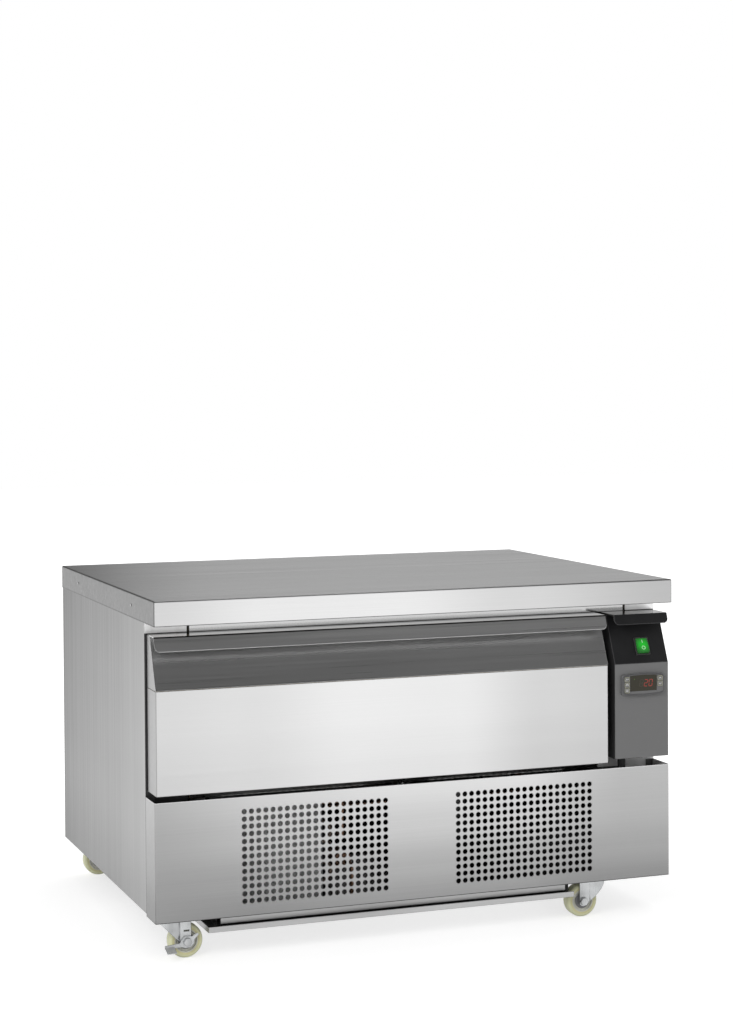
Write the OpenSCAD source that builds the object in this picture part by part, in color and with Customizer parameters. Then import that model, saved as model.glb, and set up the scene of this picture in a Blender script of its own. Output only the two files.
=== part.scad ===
// Refrigerated drawer unit: one full-width drawer for two gastronorm pans on its
// own cooling machine, a flat worktop above it, on four castors.
// The origin is on the floor below the middle of the worktop. The front faces -Y.

/* [Worktop] */
// Width of the worktop
worktop_w = 900; // [890:1:940]
// Depth of the worktop, front to back
worktop_d = 700; // [690:1:740]
// Height of its folded edge
edge_h = 40; // [34:1:50]
// Gauge of the worktop sheet
top_gauge = 1.5; // [1.2:0.1:2]
// Outside radius of its folds
top_fold = 2.5; // [2.2:0.1:4]
// Width of the lip turned in under its edge
top_lip = 14; // [8:1:20]

/* [Cabinet] */
// Gauge of the cabinet's sheets
gauge = 1; // [0.8:0.1:1.2]
// How far the side panels stand in from the worktop's ends
panel_inset = 1; // [0.5:0.5:3]
// How far the cabinet's front plane lies behind the worktop's edge
front_setback = 68; // [66:1:72]
// Insulated wall on the left
wall_left = 72; // [64:1:80]
// Insulated wall on the right
wall_right = 57; // [50:1:60]
// Insulated wall at the back
wall_back = 50; // [44:1:54]
// Insulated wall above the drawer
wall_top = 40; // [36:1:50]
// Insulated floor under the drawer
wall_floor = 45; // [40:1:55]
// Insulated post between the drawer and the controls, front to back
post_depth = 50; // [40:1:60]
// Height of the cold space
cavity_h = 200; // [196:1:240]
// Width of the evaporator's space
evap_w = 79; // [76:1:84]
// Gap left at a seam between two front sheets
seam = 0.8; // [0.4:0.1:1.2]

/* [Machine bay] */
// Height of the machine bay above the chassis
bay_h = 178; // [175:1:200]
// Front of the fascia behind the worktop's edge
fascia_y = 9; // [6:1:12]
// Height by which the fascia hangs below the side panels
fascia_drop = 4; // [2:0.5:6]
// Height by which the fascia rises above the bay's ceiling
fascia_rise = 8; // [6:1:9]
// Outside radius of the fascia's folds
fascia_fold = 2; // [1.5:0.1:3]
// Flange along the foot of the fascia
fascia_flange = 7; // [4:0.5:8]
// Flange that screws the fascia to the cabinet
fascia_tab = 14; // [10:1:18]
// Diameter of one grille hole
hole_d = 8; // [5:0.1:8.5]
// Distance between two grille holes
hole_pitch = 11.9; // [11:0.1:12]
// Holes in one row of a grille field
hole_cols = 21; // [10:1:21]
// Rows of holes in a grille field
hole_rows = 13; // [6:1:13]
// Middle of the left grille field from the worktop's left end
field_left = 265; // [250:1:280]
// Middle of the right grille field from the worktop's right end
field_right = 270; // [256:1:290]

/* [Drawer] */
// Left edge of the drawer front from the worktop's left end
drawer_inset = 4; // [3:0.5:8]
// Gap between the drawer front and the control housing
drawer_gap = 13; // [8:1:14]
// Front of the drawer behind the worktop's edge
drawer_y = 8; // [6:1:12]
// Thickness of the drawer front
drawer_t = 55; // [53:1:56]
// Gap between the fascia and the drawer front
drawer_lift = 10; // [8:1:14]
// Gap between the handle and the worktop
handle_gap = 18; // [14:1:24]
// Height of the sloping part of the front
slope_h = 84; // [76:1:96]
// How far the slope leans back
slope_run = 37; // [34:1:40]
// How far the handle stands out over the slope
handle_reach = 26; // [22:1:28]
// Height of the handle's hanging lip
lip_h = 23; // [18:1:28]
// How far the lip leans forward over its height
lip_run = 9; // [6:0.5:10]
// Gauge of the drawer's sheets
drawer_gauge = 1.2; // [1:0.1:1.5]
// Radius of the lip's lower corners
lip_r = 8; // [5:0.5:10]
// Width of the gasket
gasket_w = 14; // [10:1:14]
// How far the gasket laps over the edge of the opening
gasket_lap = 1; // [0:0.5:4]
// Travel of the drawer
travel = 540; // [500:1:548]

/* [Slides and pans] */
// Length of one slide member
slide_l = 550; // [549:1:555]
// Height of the fixed slide member
slide_h = 45; // [42:1:46]
// Width of a closed slide
slide_t = 12.7; // [12.4:0.1:13.5]
// Gauge of the slide members
slide_gauge = 1.2; // [1:0.1:1.5]
// Running clearance between slide members
slide_gap = 0.3; // [0.2:0.05:0.4]
// Middle of the slides below the top of the cold space
slide_drop = 42; // [34:1:46]
// Front end of the closed slides behind the cabinet's front plane
slide_start = 4; // [2:1:8]
// Room left behind the closed slides
slide_room = 28; // [20:1:40]
// Room left behind the closed pan frame
pan_room = 46; // [30:1:60]
// Width of the hole that a pan hangs in
pan_w = 308; // [306:1:311]
// Length of the hole that a pan hangs in
pan_l = 512; // [508:1:516]
// Bar between the two pans
pan_bar = 20; // [18:1:26]
// Height of the pan frame
frame_h = 45; // [36:1:45]
// Gauge of the pan frame
frame_gauge = 1.5; // [1.2:0.1:2]

/* [Controls] */
// Width of the control housing
control_w = 100; // [96:1:102]
// Right side of the housing from the worktop's right end
control_inset = 3; // [2:0.5:5]
// Foot of the housing above the drawer's foot
control_lift = 5; // [2:1:8]
// Wall of the housing
control_wall = 2.5; // [2:0.1:3]
// How far the housing's lip stands out over the slope
control_reach = 32; // [30:1:33]
// Height of the housing's lip
control_lip_h = 17; // [13:1:20]
// Thickness of the faceplate
faceplate_t = 1.2; // [0.8:0.1:2]
// Width of the controller's bezel
bezel_w = 80; // [76:0.5:84]
// Height of the controller's bezel
bezel_h = 38; // [36:0.5:40]
// How far the bezel stands out
bezel_t = 5; // [3.5:0.1:6]
// Middle of the controller below the fold of the front
bezel_drop = 35; // [28:1:60]
// Middle of the controller right of the housing's middle
bezel_side = 0.9; // [0:0.1:3]
// Depth of the controller behind the faceplate
case_depth = 48; // [30:1:50]
// Width of the display
display_w = 50; // [44:0.5:51]
// Height of the display
display_h = 28; // [22:0.5:29]
// Width of one key
key_w = 9; // [7:0.1:9.5]
// Height of one key
key_h = 8; // [6:0.1:8.6]
// Distance between two keys
key_pitch = 9.4; // [9:0.1:9.6]
// Clearance round a key
key_gap = 0.3; // [0.2:0.05:0.4]
// Width of the switch's bezel
switch_w = 26; // [25:0.5:30]
// Height of the switch's bezel
switch_h = 31; // [30.5:0.5:38]
// Width of the rocker
rocker_w = 20; // [16:0.5:21]
// Height of the rocker
rocker_h = 25.5; // [22:0.5:25.5]
// Tilt of the rocker at either end of its throw
rocker_tilt = 9; // [6:0.5:10]
// Middle of the switch below the top of the slope, along it
switch_drop = 62; // [54:1:66]

/* [Castors] */
// Height of the castors
castor_h = 68.5; // [68:0.5:72]
// Diameter of the wheels
wheel_d = 55; // [50:0.5:55]
// Width of the wheels
wheel_w = 22; // [18:0.5:23]
// Distance from the swivel to the axle
castor_offset = 24; // [20:0.5:24]
// Side of the castor's square plate
plate_w = 50; // [46:1:52]
// Swivel of the left castors from the worktop's left end
castor_left = 33; // [32:1:34]
// Swivel of the right castors from the worktop's right end
castor_right = 128; // [126:1:132]
// Swivel of the front castors behind the worktop's edge
castor_front = 47; // [46:1:50]
// Swivel of the rear castors from the back edge
castor_rear = 26; // [26:1:44]
// Radius of the axle
axle_r = 4; // [3.5:0.1:4.5]
// Radial clearance of a shaft in its hole
run_fit = 0.05; // [0.02:0.01:0.08]
// Sheet of the castor's fork
fork_t = 2; // [1.5:0.1:2.5]

/* [Cooling machine] */
// Left edge of the machine tray from the worktop's left end
tray_left = 89; // [86:1:96]
// Right edge of the machine tray from the worktop's right end
tray_right = 184; // [184:1:200]
// Depth by which the tray hangs below the chassis
tray_drop = 28; // [26:1:30]
// Height of the tray's front lip
tray_lip = 9; // [8:0.5:12]
// Diameter of the condenser's fan
fan_d = 150; // [130:1:150]
// Width of the condenser
cond_w = 196; // [190:1:210]
// Thickness of the condenser
cond_t = 36; // [30:1:40]
// Distance between two condenser fins
fin_pitch = 6; // [5:0.5:8]
// Thickness of one fin
fin_t = 0.8; // [0.5:0.1:1]
// Diameter of the compressor's shell
shell_d = 150; // [130:1:156]
// Height of the compressor's shell
shell_h = 150; // [130:1:160]
// Radius of the copper pipes
pipe_r = 4; // [3:0.25:5]
// Diameter of the fan in the cold space
evap_fan_d = 120; // [100:1:126]

/* [Hidden] */
$fn = 48;
eps = 0.01;
seat = 0.3;
steel = [0.76, 0.76, 0.77];
zinc = [0.70, 0.71, 0.73];
black = [0.10, 0.10, 0.11];
copper = [0.72, 0.42, 0.26];
nylon = [0.83, 0.82, 0.66];
grey = [0.42, 0.42, 0.43];

// Distances from the worktop's ends and edges, as places in the part's frame
function xl(v) = v - worktop_w / 2;
function xr(v) = worktop_w / 2 - v;
function yf(v) = v - worktop_d / 2;
function yb(v) = worktop_d / 2 - v;

// Levels above the floor
bay_z0 = castor_h;
bay_z1 = bay_z0 + bay_h;
cav_z0 = bay_z1 + wall_floor;
cav_z1 = cav_z0 + cavity_h;
body_z1 = cav_z1 + wall_top;
top_z = body_z1 + edge_h;

// Planes of the cabinet
body_x0 = xl(panel_inset);
body_x1 = xr(panel_inset);
body_y0 = yf(front_setback);
cav_x0 = xl(wall_left);
duct_x = xr(wall_right + evap_w);
cav_x1 = xr(wall_right);
post_y = body_y0 + post_depth;

// Drawer front
front_x0 = xl(drawer_inset);
front_x1 = xr(control_inset + control_w + drawer_gap);
front_y0 = yf(drawer_y);
front_y1 = front_y0 + drawer_t;
fascia_z0 = bay_z0 - fascia_drop;
fascia_z1 = bay_z1 + fascia_rise;
front_z0 = fascia_z1 + drawer_lift;
front_z1 = body_z1 - handle_gap;
knee_z = front_z1 - slope_h;
slope_a = atan2(slope_h, slope_run);
slope_top_y = front_y0 + slope_run;
slope_l = norm([slope_run, slope_h]);

// Slides and pan frame
slide_z = cav_z1 - slide_drop;
frame_x0 = cav_x0 + seat + slide_t;
frame_x1 = duct_x - seat - slide_t;
frame_y0 = front_y1;
frame_ledge = (frame_x1 - frame_x0 - 2 * frame_gauge - 2 * pan_w - pan_bar) / 2;
frame_end = 13;
frame_y1 = frame_y0 + pan_l + 2 * frame_end + 2 * frame_gauge;
ledge_drop = 10;

// The cold space is as deep as the slides and the pan frame need, and the cabinet
// as that and its rear wall
slide_y0 = body_y0 + slide_start;
cav_y1 = max(slide_y0 + slide_l + slide_room, frame_y1 + pan_room);
body_y1 = cav_y1 + wall_back - panel_inset;
function yk(v) = cav_y1 + wall_back - v;

// Controls
control_x1 = xr(control_inset);
control_x0 = control_x1 - control_w;
control_xm = (control_x0 + control_x1) / 2;
control_z0 = front_z0 + control_lift;
controller_z = knee_z - bezel_drop;
bezel_corner = 5;
key_travel = 0.5;
key_stand = 0.9;
key_col = display_w / 2 + 1.2 + key_w / 2 + key_gap;
display_up = 2.9;
key_rows = [for (i = [1, 0, -1]) i * key_pitch];

// Castors: place, turn, and whether it has a brake
FL = [xl(castor_left), yf(castor_front), 0];
FR = [xr(castor_right), yf(castor_front), 180];
RL = [xl(castor_left), yk(castor_rear), 0];
RR = [xr(castor_right), yk(castor_rear), 180];
axle_z = wheel_d / 2;
plate_t = 2.5;
race_t = 2.5;
crown_z1 = castor_h - plate_t - race_t - seat;
crown_z0 = crown_z1 - 2.5;
wheel_side = 1.8;
cheek_in = wheel_w / 2 + wheel_side + seat;
cheek_out = cheek_in + fork_t;
pedal_t = 2;
head_t = 5;

// Machine bay
tray_x0 = xl(tray_left);
tray_x1 = xr(tray_right);
tray_y0 = yf(18);
tray_y1 = yk(70);
tray_z0 = bay_z0 - tray_drop;
tray_gauge = 1.5;
hang_y0 = yf(100);
hang_y1 = yk(115);
unit_x0 = tray_x0 + 23;
unit_x1 = tray_x1 - tray_gauge - 2;
unit_y0 = tray_y0 + 12;
unit_y1 = tray_y1 - tray_gauge - seat;
unit_z = tray_z0 + 2 * tray_gauge;
cond_x0 = unit_x0 + 2;
cond_x1 = cond_x0 + cond_w;
cond_xm = (cond_x0 + cond_x1) / 2;
cond_y0 = unit_y0 + 30;
cond_y1 = cond_y0 + cond_t;
cond_z0 = unit_z + seat;
cond_z1 = bay_z1 - 8;
cond_zm = (cond_z0 + cond_z1) / 2;
shroud_t = 30;
shell_x = unit_x1 - 105;
shell_y = unit_y0 + 290;
shell_z = unit_z + 21;
evap_y0 = cav_y1 - 320;
evap_y1 = cav_y1 - 20;
evap_fan_y = post_y + 92;
evap_fan_z = (cav_z0 + cav_z1) / 2;
evap_xm = (duct_x + cav_x1) / 2 + 2;

// Block between two values along each axis
module block(x, y, z)
    translate([x[0], y[0], z[0]]) cube([x[1] - x[0], y[1] - y[0], z[1] - z[0]]);

// Outline in Y and Z, drawn out along X
module along_x(x0, x1)
    translate([x0, 0, 0]) rotate([90, 0, 90]) linear_extrude(x1 - x0) children();

// Outline in X and Z, drawn out along Y
module along_y(y0, y1)
    translate([0, y1, 0]) rotate([90, 0, 0]) linear_extrude(y1 - y0) children();

// Round bar along Y or X, by its middle line
module rod_y(x, z, r, y0, y1)
    translate([x, y1, z]) rotate([90, 0, 0]) cylinder(r = r, h = y1 - y0);
module rod_x(y, z, r, x0, x1)
    translate([x0, y, z]) rotate([0, 90, 0]) cylinder(r = r, h = x1 - x0);

// Rectangle with its two upper corners rounded
module arch(a0, a1, b0, b1, r) {
    translate([a0, b0]) square([a1 - a0, b1 - b0 - r]);
    translate([a0 + r, b0]) square([a1 - a0 - 2 * r, b1 - b0]);
    for (a = [a0 + r, a1 - r]) translate([a, b1 - r]) circle(r);
}

// Rectangle with all four corners rounded
module rounded(w, h, r) {
    square([w - 2 * r, h], center = true);
    square([w, h - 2 * r], center = true);
    for (i = [-1, 1], j = [-1, 1])
        translate([i * (w / 2 - r), j * (h / 2 - r)]) circle(r);
}

// Block whose four upper edges are rolled over, as a folded sheet's are
module rolled(x, y, z, r)
    intersection() {
        along_y(y[0], y[1]) arch(x[0], x[1], z[0], z[1], r);
        along_x(x[0], x[1]) arch(y[0], y[1], z[0], z[1], r);
    }

// Plan of a sheet folded back at both front corners
module folded_plan(x0, x1, y0, y1, r)
    translate([0, 0]) mirror([0, 1]) arch(x0, x1, -y1, -y0, r);

// Face of the front: local x to the right, y up the face, z out of it
module on_face(x, y, z, a) translate([x, y, z]) rotate([a, 0, 0]) children();
module on_slope() on_face(control_xm + 6, slope_top_y, front_z1, slope_a)
    translate([0, -switch_drop, 0]) children();
module on_front() on_face(control_xm + bezel_side, front_y0, controller_z, 90) children();

// Pipe along a list of points
module pipe(points, r)
    for (i = [0 : len(points) - 2]) {
        a = points[i];
        d = points[i + 1] - a;
        translate(a) rotate([0, acos(d[2] / norm(d)), atan2(d[1], d[0])])
            cylinder(r = r, h = norm(d));
        if (i > 0) translate(a) sphere(r);
    }

// Castor standing at its own swivel
module at_castor(c) translate([c[0], c[1], 0]) rotate([0, 0, c[2]]) children();

// Worktop and its core
module worktop() color(steel) {
    x = [xl(0), xr(0)];
    y = [yf(0), yb(0)];
    difference() {
        rolled(x, y, [body_z1, top_z], top_fold);
        rolled([x[0] + top_gauge, x[1] - top_gauge], [y[0] + top_gauge, y[1] - top_gauge],
            [body_z1 + top_gauge, top_z - top_gauge], top_fold - top_gauge + 0.3);
        block([x[0] + top_lip, x[1] - top_lip], [y[0] + top_lip, y[1] - top_lip],
            [body_z1 - 1, top_z - 3 * top_gauge]);
    }
}

module worktop_core() color("tan")
    block([xl(top_gauge), xr(top_gauge)], [yf(top_gauge), yb(top_gauge)],
        [body_z1 + top_gauge, top_z - top_gauge - 1.5]);

// Outer panels
module side_panel(outer, sheet_in, return_in) {
    lo = min(outer, sheet_in);
    hi = max(outer, sheet_in);
    block([lo, hi], [body_y0, body_y1], [bay_z0, body_z1]);
    block([min(outer, return_in), max(outer, return_in)], [body_y0, body_y0 + gauge],
        [bay_z0 + chassis_gauge, body_z1]);
}
module side_panel_left() color(steel) side_panel(body_x0, body_x0 + gauge, cav_x0);
module side_panel_right() color(steel) side_panel(body_x1, body_x1 - gauge, cav_x1);

vent_w = 60;
vent_n = 9;
vent_step = 12;
gland_x = xr(150);
gland_z = bay_z0 + 60;
gland_r = 8;
module back_panel() color(steel)
    along_y(body_y1 - gauge, body_y1) difference() {
        translate([body_x0 + gauge, bay_z0])
            square([body_x1 - body_x0 - 2 * gauge, body_z1 - bay_z0]);
        for (x = [xl(200), xl(300), xl(560)], i = [0 : vent_n - 1])
            translate([x, bay_z0 + 45 + i * vent_step]) rounded(vent_w, 5, 2.4);
        translate([gland_x, gland_z]) circle(gland_r + run_fit);
    }

// Front sheets round the drawer's opening
module front_frame() color(steel)
    along_y(body_y0, body_y0 + gauge) difference() {
        translate([cav_x0 + seam, bay_z1])
            square([cav_x1 - cav_x0 - 2 * seam, body_z1 - bay_z1]);
        translate([cav_x0 - 1, cav_z0]) square([duct_x - cav_x0 + 1, cavity_h]);
    }

// Plan of the cold space: the drawer's bay, and the evaporator's bay behind the post
module cold_plan(g) {
    translate([cav_x0 - g, body_y0 + gauge])
        square([duct_x - cav_x0 + gauge + g, cav_y1 + g - body_y0 - gauge]);
    translate([duct_x, post_y - g])
        square([cav_x1 + g - duct_x, cav_y1 + g - post_y + g]);
}

drain_x = cav_x1 - 24;
drain_y = evap_y0 - 40;
drain_r = 7;
module cavity_liner() color(steel) difference() {
    translate([0, 0, cav_z0 - gauge])
        linear_extrude(cavity_h + 2 * gauge) cold_plan(gauge);
    translate([0, 0, cav_z0]) linear_extrude(cavity_h) difference() {
        cold_plan(0);
        translate([duct_x, body_y0]) square([gauge, post_y - body_y0]);
    }
    block([cav_x0, duct_x], [body_y0, body_y0 + 2 * gauge], [cav_z0, cav_z1]);
    translate([drain_x, drain_y, cav_z0 - 5]) cylinder(r = drain_r + run_fit, h = 10);
    for (r = suction_runs) translate([r[0], r[1], cav_z0 - 5])
        cylinder(r = pipe_r + 1, h = 10);
}

module foam_insulation() color("khaki") difference() {
    block([body_x0 + gauge, body_x1 - gauge], [body_y0 + gauge, body_y1 - gauge],
        [bay_z1 + gauge, body_z1]);
    translate([0, 0, cav_z0 - gauge])
        linear_extrude(cavity_h + 2 * gauge) cold_plan(gauge);
    translate([drain_x, drain_y, bay_z1 - 5])
        cylinder(r = drain_r + run_fit, h = wall_floor + 10);
    for (r = suction_runs) translate([r[0], r[1], bay_z1 - 5])
        cylinder(r = pipe_r + 1, h = wall_floor + 10);
}

module bay_ceiling() color(steel) difference() {
    block([body_x0 + gauge, body_x1 - gauge], [body_y0 + gauge, body_y1 - gauge],
        [bay_z1, bay_z1 + gauge]);
    translate([drain_x, drain_y, bay_z1 - 5]) cylinder(r = drain_r + run_fit, h = 10);
    for (r = suction_runs) translate([r[0], r[1], bay_z1 - 5])
        cylinder(r = pipe_r + 1, h = 10);
}

// Chassis: a sheet with turned-up sides, open where the machine tray hangs
chassis_gauge = 1.5;
chassis_up = 30;
module base_chassis() color(zinc) {
    x = [body_x0 + gauge, body_x1 - gauge];
    y0 = yf(fascia_y) + gauge + 1;
    y1 = body_y1 - gauge;
    difference() {
        block(x, [y0, y1], [bay_z0, bay_z0 + chassis_gauge]);
        block([tray_x0 + tray_gauge, tray_x1 - tray_gauge],
            [unit_y0 - 6, hang_y1], [bay_z0 - 1, bay_z0 + 5]);
        for (c = [FL, FR, RL, RR]) at_castor(c) bolt_holes(bay_z0 - 1, 5);
    }
    for (e = [[x[0], x[0] + chassis_gauge], [x[1] - chassis_gauge, x[1]]])
        block(e, [body_y0 + gauge, y1], [bay_z0, bay_z0 + chassis_up]);
    block(x, [y1 - chassis_gauge, y1], [bay_z0, bay_z0 + chassis_up]);
}

// Fascia: a sheet folded back at both ends, with two fields of holes
module fascia() color(steel) {
    y0 = yf(fascia_y);
    z = (fascia_z0 + fascia_z1) / 2;
    rows = (hole_rows - 1) / 2;
    cols = (hole_cols - 1) / 2;
    field = [for (i = [-cols : cols], j = [-rows : rows]) [i, j] * hole_pitch];
    along_y(y0, y0 + gauge) difference() {
        translate([body_x0 + fascia_fold, fascia_z0])
            square([body_x1 - body_x0 - 2 * fascia_fold, fascia_z1 - fascia_z0]);
        for (x = [xl(field_left), xr(field_right)], p = field)
            translate([x + p[0], z + p[1]]) circle(d = hole_d, $fn = 24);
    }
    difference() {
        translate([0, 0, fascia_z0]) linear_extrude(fascia_z1 - fascia_z0) difference() {
            folded_plan(body_x0, body_x1, y0, body_y0, fascia_fold);
            folded_plan(body_x0 + gauge, body_x1 - gauge, y0 + gauge, body_y0 - gauge,
                fascia_fold - gauge);
            translate([body_x0 + gauge + fascia_tab, y0 + gauge])
                square([body_x1 - body_x0 - 2 * gauge - 2 * fascia_tab, worktop_d]);
            translate([body_x0 + fascia_fold, y0 - 1])
                square([body_x1 - body_x0 - 2 * fascia_fold, gauge + 1]);
        }
        block([body_x0 + gauge, body_x1 - gauge], [body_y0 - gauge - 1, body_y0 + 1],
            [fascia_z0 - 1, bay_z0 + 2]);
    }
    block([body_x0 + fascia_fold, body_x1 - fascia_fold], [y0 + gauge, y0 + gauge + fascia_flange],
        [fascia_z0, fascia_z0 + gauge]);
}

// Tray that the cooling machine stands in, hung between the castors
module machine_tray() color(steel) {
    t = tray_gauge;
    x = [tray_x0, tray_x1];
    block(x, [tray_y0, tray_y1], [tray_z0, tray_z0 + t]);
    block([x[0], x[1] + 8], [tray_y0, tray_y0 + t], [tray_z0, tray_z0 + tray_lip]);
    block(x, [tray_y1 - t, tray_y1], [tray_z0, tray_z0 + tray_lip]);
    for (e = [[x[0], x[0] + t, x[0] - 12, x[0] + t], [x[1] - t, x[1], x[1] - t, x[1] + 12]]) {
        block([e[0], e[1]], [tray_y0, tray_y1], [tray_z0, tray_z0 + tray_lip]);
        block([e[0], e[1]], [hang_y0, hang_y1], [tray_z0, bay_z0]);
        block([e[2], e[3]], [hang_y0, hang_y1], [bay_z0 - t, bay_z0]);
    }
}

module unit_base() color(zinc) {
    t = tray_gauge;
    x = [unit_x0, unit_x1];
    z0 = unit_z - t;
    difference() {
        block(x, [unit_y0, unit_y1], [z0, unit_z]);
        for (p = grommet_places) translate([p[0], p[1], z0 - 1]) cylinder(r = 3.2, h = 5);
    }
    block(x, [unit_y0, unit_y0 + t], [z0, bay_z0 - 1]);
    block(x, [unit_y1 - t, unit_y1], [z0, z0 + 15]);
    for (e = [[x[0], x[0] + t], [x[1] - t, x[1]]])
        block(e, [cond_y0, unit_y1], [z0, z0 + 12]);
}

// Compressor: a welded shell on a foot plate, with its relay box
foot_x = 78;
foot_y = 52;
foot_rim = 12;
foot_t = 3;
shell_round = 28;
seam_h = 6;
relay_w = 44;
relay_out = 26;
relay_z0 = 45;
relay_z1 = 100;
grommet_places = [for (i = [-1, 1], j = [-1, 1]) [shell_x + i * foot_x, shell_y + j * foot_y]];
grommet_h = 18;
module compressor() color(black) {
    r = shell_d / 2;
    round_r = shell_round;
    z0 = unit_z + grommet_h;
    translate([shell_x, shell_y, z0 + foot_t]) rotate_extrude($fn = 64) {
        square([r - round_r, shell_h]);
        translate([0, round_r]) square([r, shell_h - 2 * round_r]);
        intersection() {
            for (z = [round_r, shell_h - round_r]) translate([r - round_r, z]) circle(round_r);
            square([r, shell_h]);
        }
    }
    translate([shell_x, shell_y, z0 + foot_t + shell_h / 2 - seam_h / 2])
        cylinder(r = r + 2.5, h = seam_h, $fn = 64);
    difference() {
        block([shell_x - foot_x - foot_rim, shell_x + foot_x + foot_rim],
            [shell_y - foot_y - foot_rim, shell_y + foot_y + foot_rim], [z0, z0 + foot_t]);
        for (p = grommet_places) translate([p[0], p[1], z0 - 1]) cylinder(r = 6, h = 5);
    }
    block([shell_x - relay_w / 2, shell_x + relay_w / 2],
        [shell_y + r - 8, shell_y + r + relay_out], [z0 + relay_z0, z0 + relay_z1]);
}

module compressor_grommets() color(grey)
    for (p = grommet_places) translate([p[0], p[1], unit_z]) difference() {
        union() {
            cylinder(r = 11, h = grommet_h);
            cylinder(r = 6 - run_fit, h = grommet_h + 4);
        }
        translate([0, 0, -1]) cylinder(r = 3.2, h = grommet_h + 10);
    }

// Finned coil: plates across X, joined by a serpentine of tubes
module coil(x, y, z, pitch, rows, r) {
    n = floor((x[1] - x[0] - 4) / pitch);
    step = (z[1] - z[0]) / rows;
    ym = (y[0] + y[1]) / 2;
    x0 = (x[0] + x[1] - n * pitch) / 2;
    for (i = [0 : n]) block([x0 + i * pitch - fin_t / 2, x0 + i * pitch + fin_t / 2], y, z);
    for (j = [0 : rows - 1]) rod_x(ym, z[0] + (j + 0.5) * step, r, x[0] - 2, x[1] + 2);
    for (j = [0 : rows - 2])
        translate([j % 2 == 0 ? x[0] - 2 : x[1] + 2, ym, z[0] + (j + 1) * step])
            rotate([90, 0, j % 2 == 0 ? 180 : 0]) rotate_extrude(angle = 180, start = -90)
                translate([step / 2, 0]) circle(r + 0.4);
}
cond_ends = 16;
cond_rows = 6;
cond_step = (cond_z1 - cond_z0) / cond_rows;
module condenser_coil() color(zinc)
    coil([cond_x0 + cond_ends, cond_x1 - cond_ends], [cond_y0, cond_y1], [cond_z0, cond_z1],
        fin_pitch, cond_rows, pipe_r);

module fan_shroud() color(grey) difference() {
    block([cond_x0, cond_x1], [cond_y1 + seat, cond_y1 + seat + shroud_t], [cond_z0, cond_z1]);
    block([cond_x0 + 1.5, cond_x1 - 1.5], [cond_y1, cond_y1 + seat + shroud_t - 1.5],
        [cond_z0 + 1.5, cond_z1 - 1.5]);
    rod_y(cond_xm, cond_zm, fan_d / 2 + 2, cond_y1, cond_y1 + shroud_t + 5);
}

motor_r = 34;
motor_y0 = cond_y1 + shroud_t + 12;
motor_l = 50;
shaft_r = 3;
module condenser_fan_motor() color(black) {
    rod_y(cond_xm, cond_zm, motor_r, motor_y0, motor_y0 + motor_l);
    rod_y(cond_xm, cond_zm, shaft_r, cond_y1 + 12, motor_y0 + 1);
    for (a = [45 : 90 : 315]) translate([cond_xm, motor_y0 + 6, cond_zm]) rotate([0, a, 0])
        block([motor_r - 1, fan_d / 2 + 8], [-1.5, 1.5], [-5, 5]);
    for (a = [45 : 90 : 315]) translate([cond_xm, 0, cond_zm]) rotate([0, a, 0])
        block([fan_d / 2 + 3, fan_d / 2 + 8], [cond_y1 + seat + shroud_t, motor_y0 + 7.5], [-5, 5]);
}

// Axial fan: flat blades set at an angle on a hub, about the Y axis
module fan(r, hub_r, width, blades, bore) difference() {
    union() {
        rod_y(0, 0, hub_r, -width / 2, width / 2);
        intersection() {
            rod_y(0, 0, r, -width, width);
            for (i = [0 : blades - 1]) rotate([0, i * 360 / blades, 0]) rotate([32, 0, 0])
                block([hub_r - 1, r + 5], [-0.8, 0.8], [-r * 0.28, r * 0.28]);
        }
    }
    rod_y(0, 0, bore, -width, width);
}
module condenser_fan_blade() color(grey)
    translate([cond_xm, cond_y1 + shroud_t - 6, cond_zm])
        fan(fan_d / 2 - 1, 18, 22, 5, shaft_r + run_fit);

drier_x = cond_x1 + 40;
drier_y = unit_y0 + 150;
drier_l = 120;
drier_r = 14;
drier_up = 70;
module filter_drier() color(copper)
    translate([drier_x, drier_y, unit_z + drier_up]) rotate([90, 0, 0])
        translate([0, 0, -drier_l / 2]) rotate_extrude() {
            square([drier_r - 4, drier_l]);
            translate([0, 5]) square([drier_r, drier_l - 10]);
        }

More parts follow.
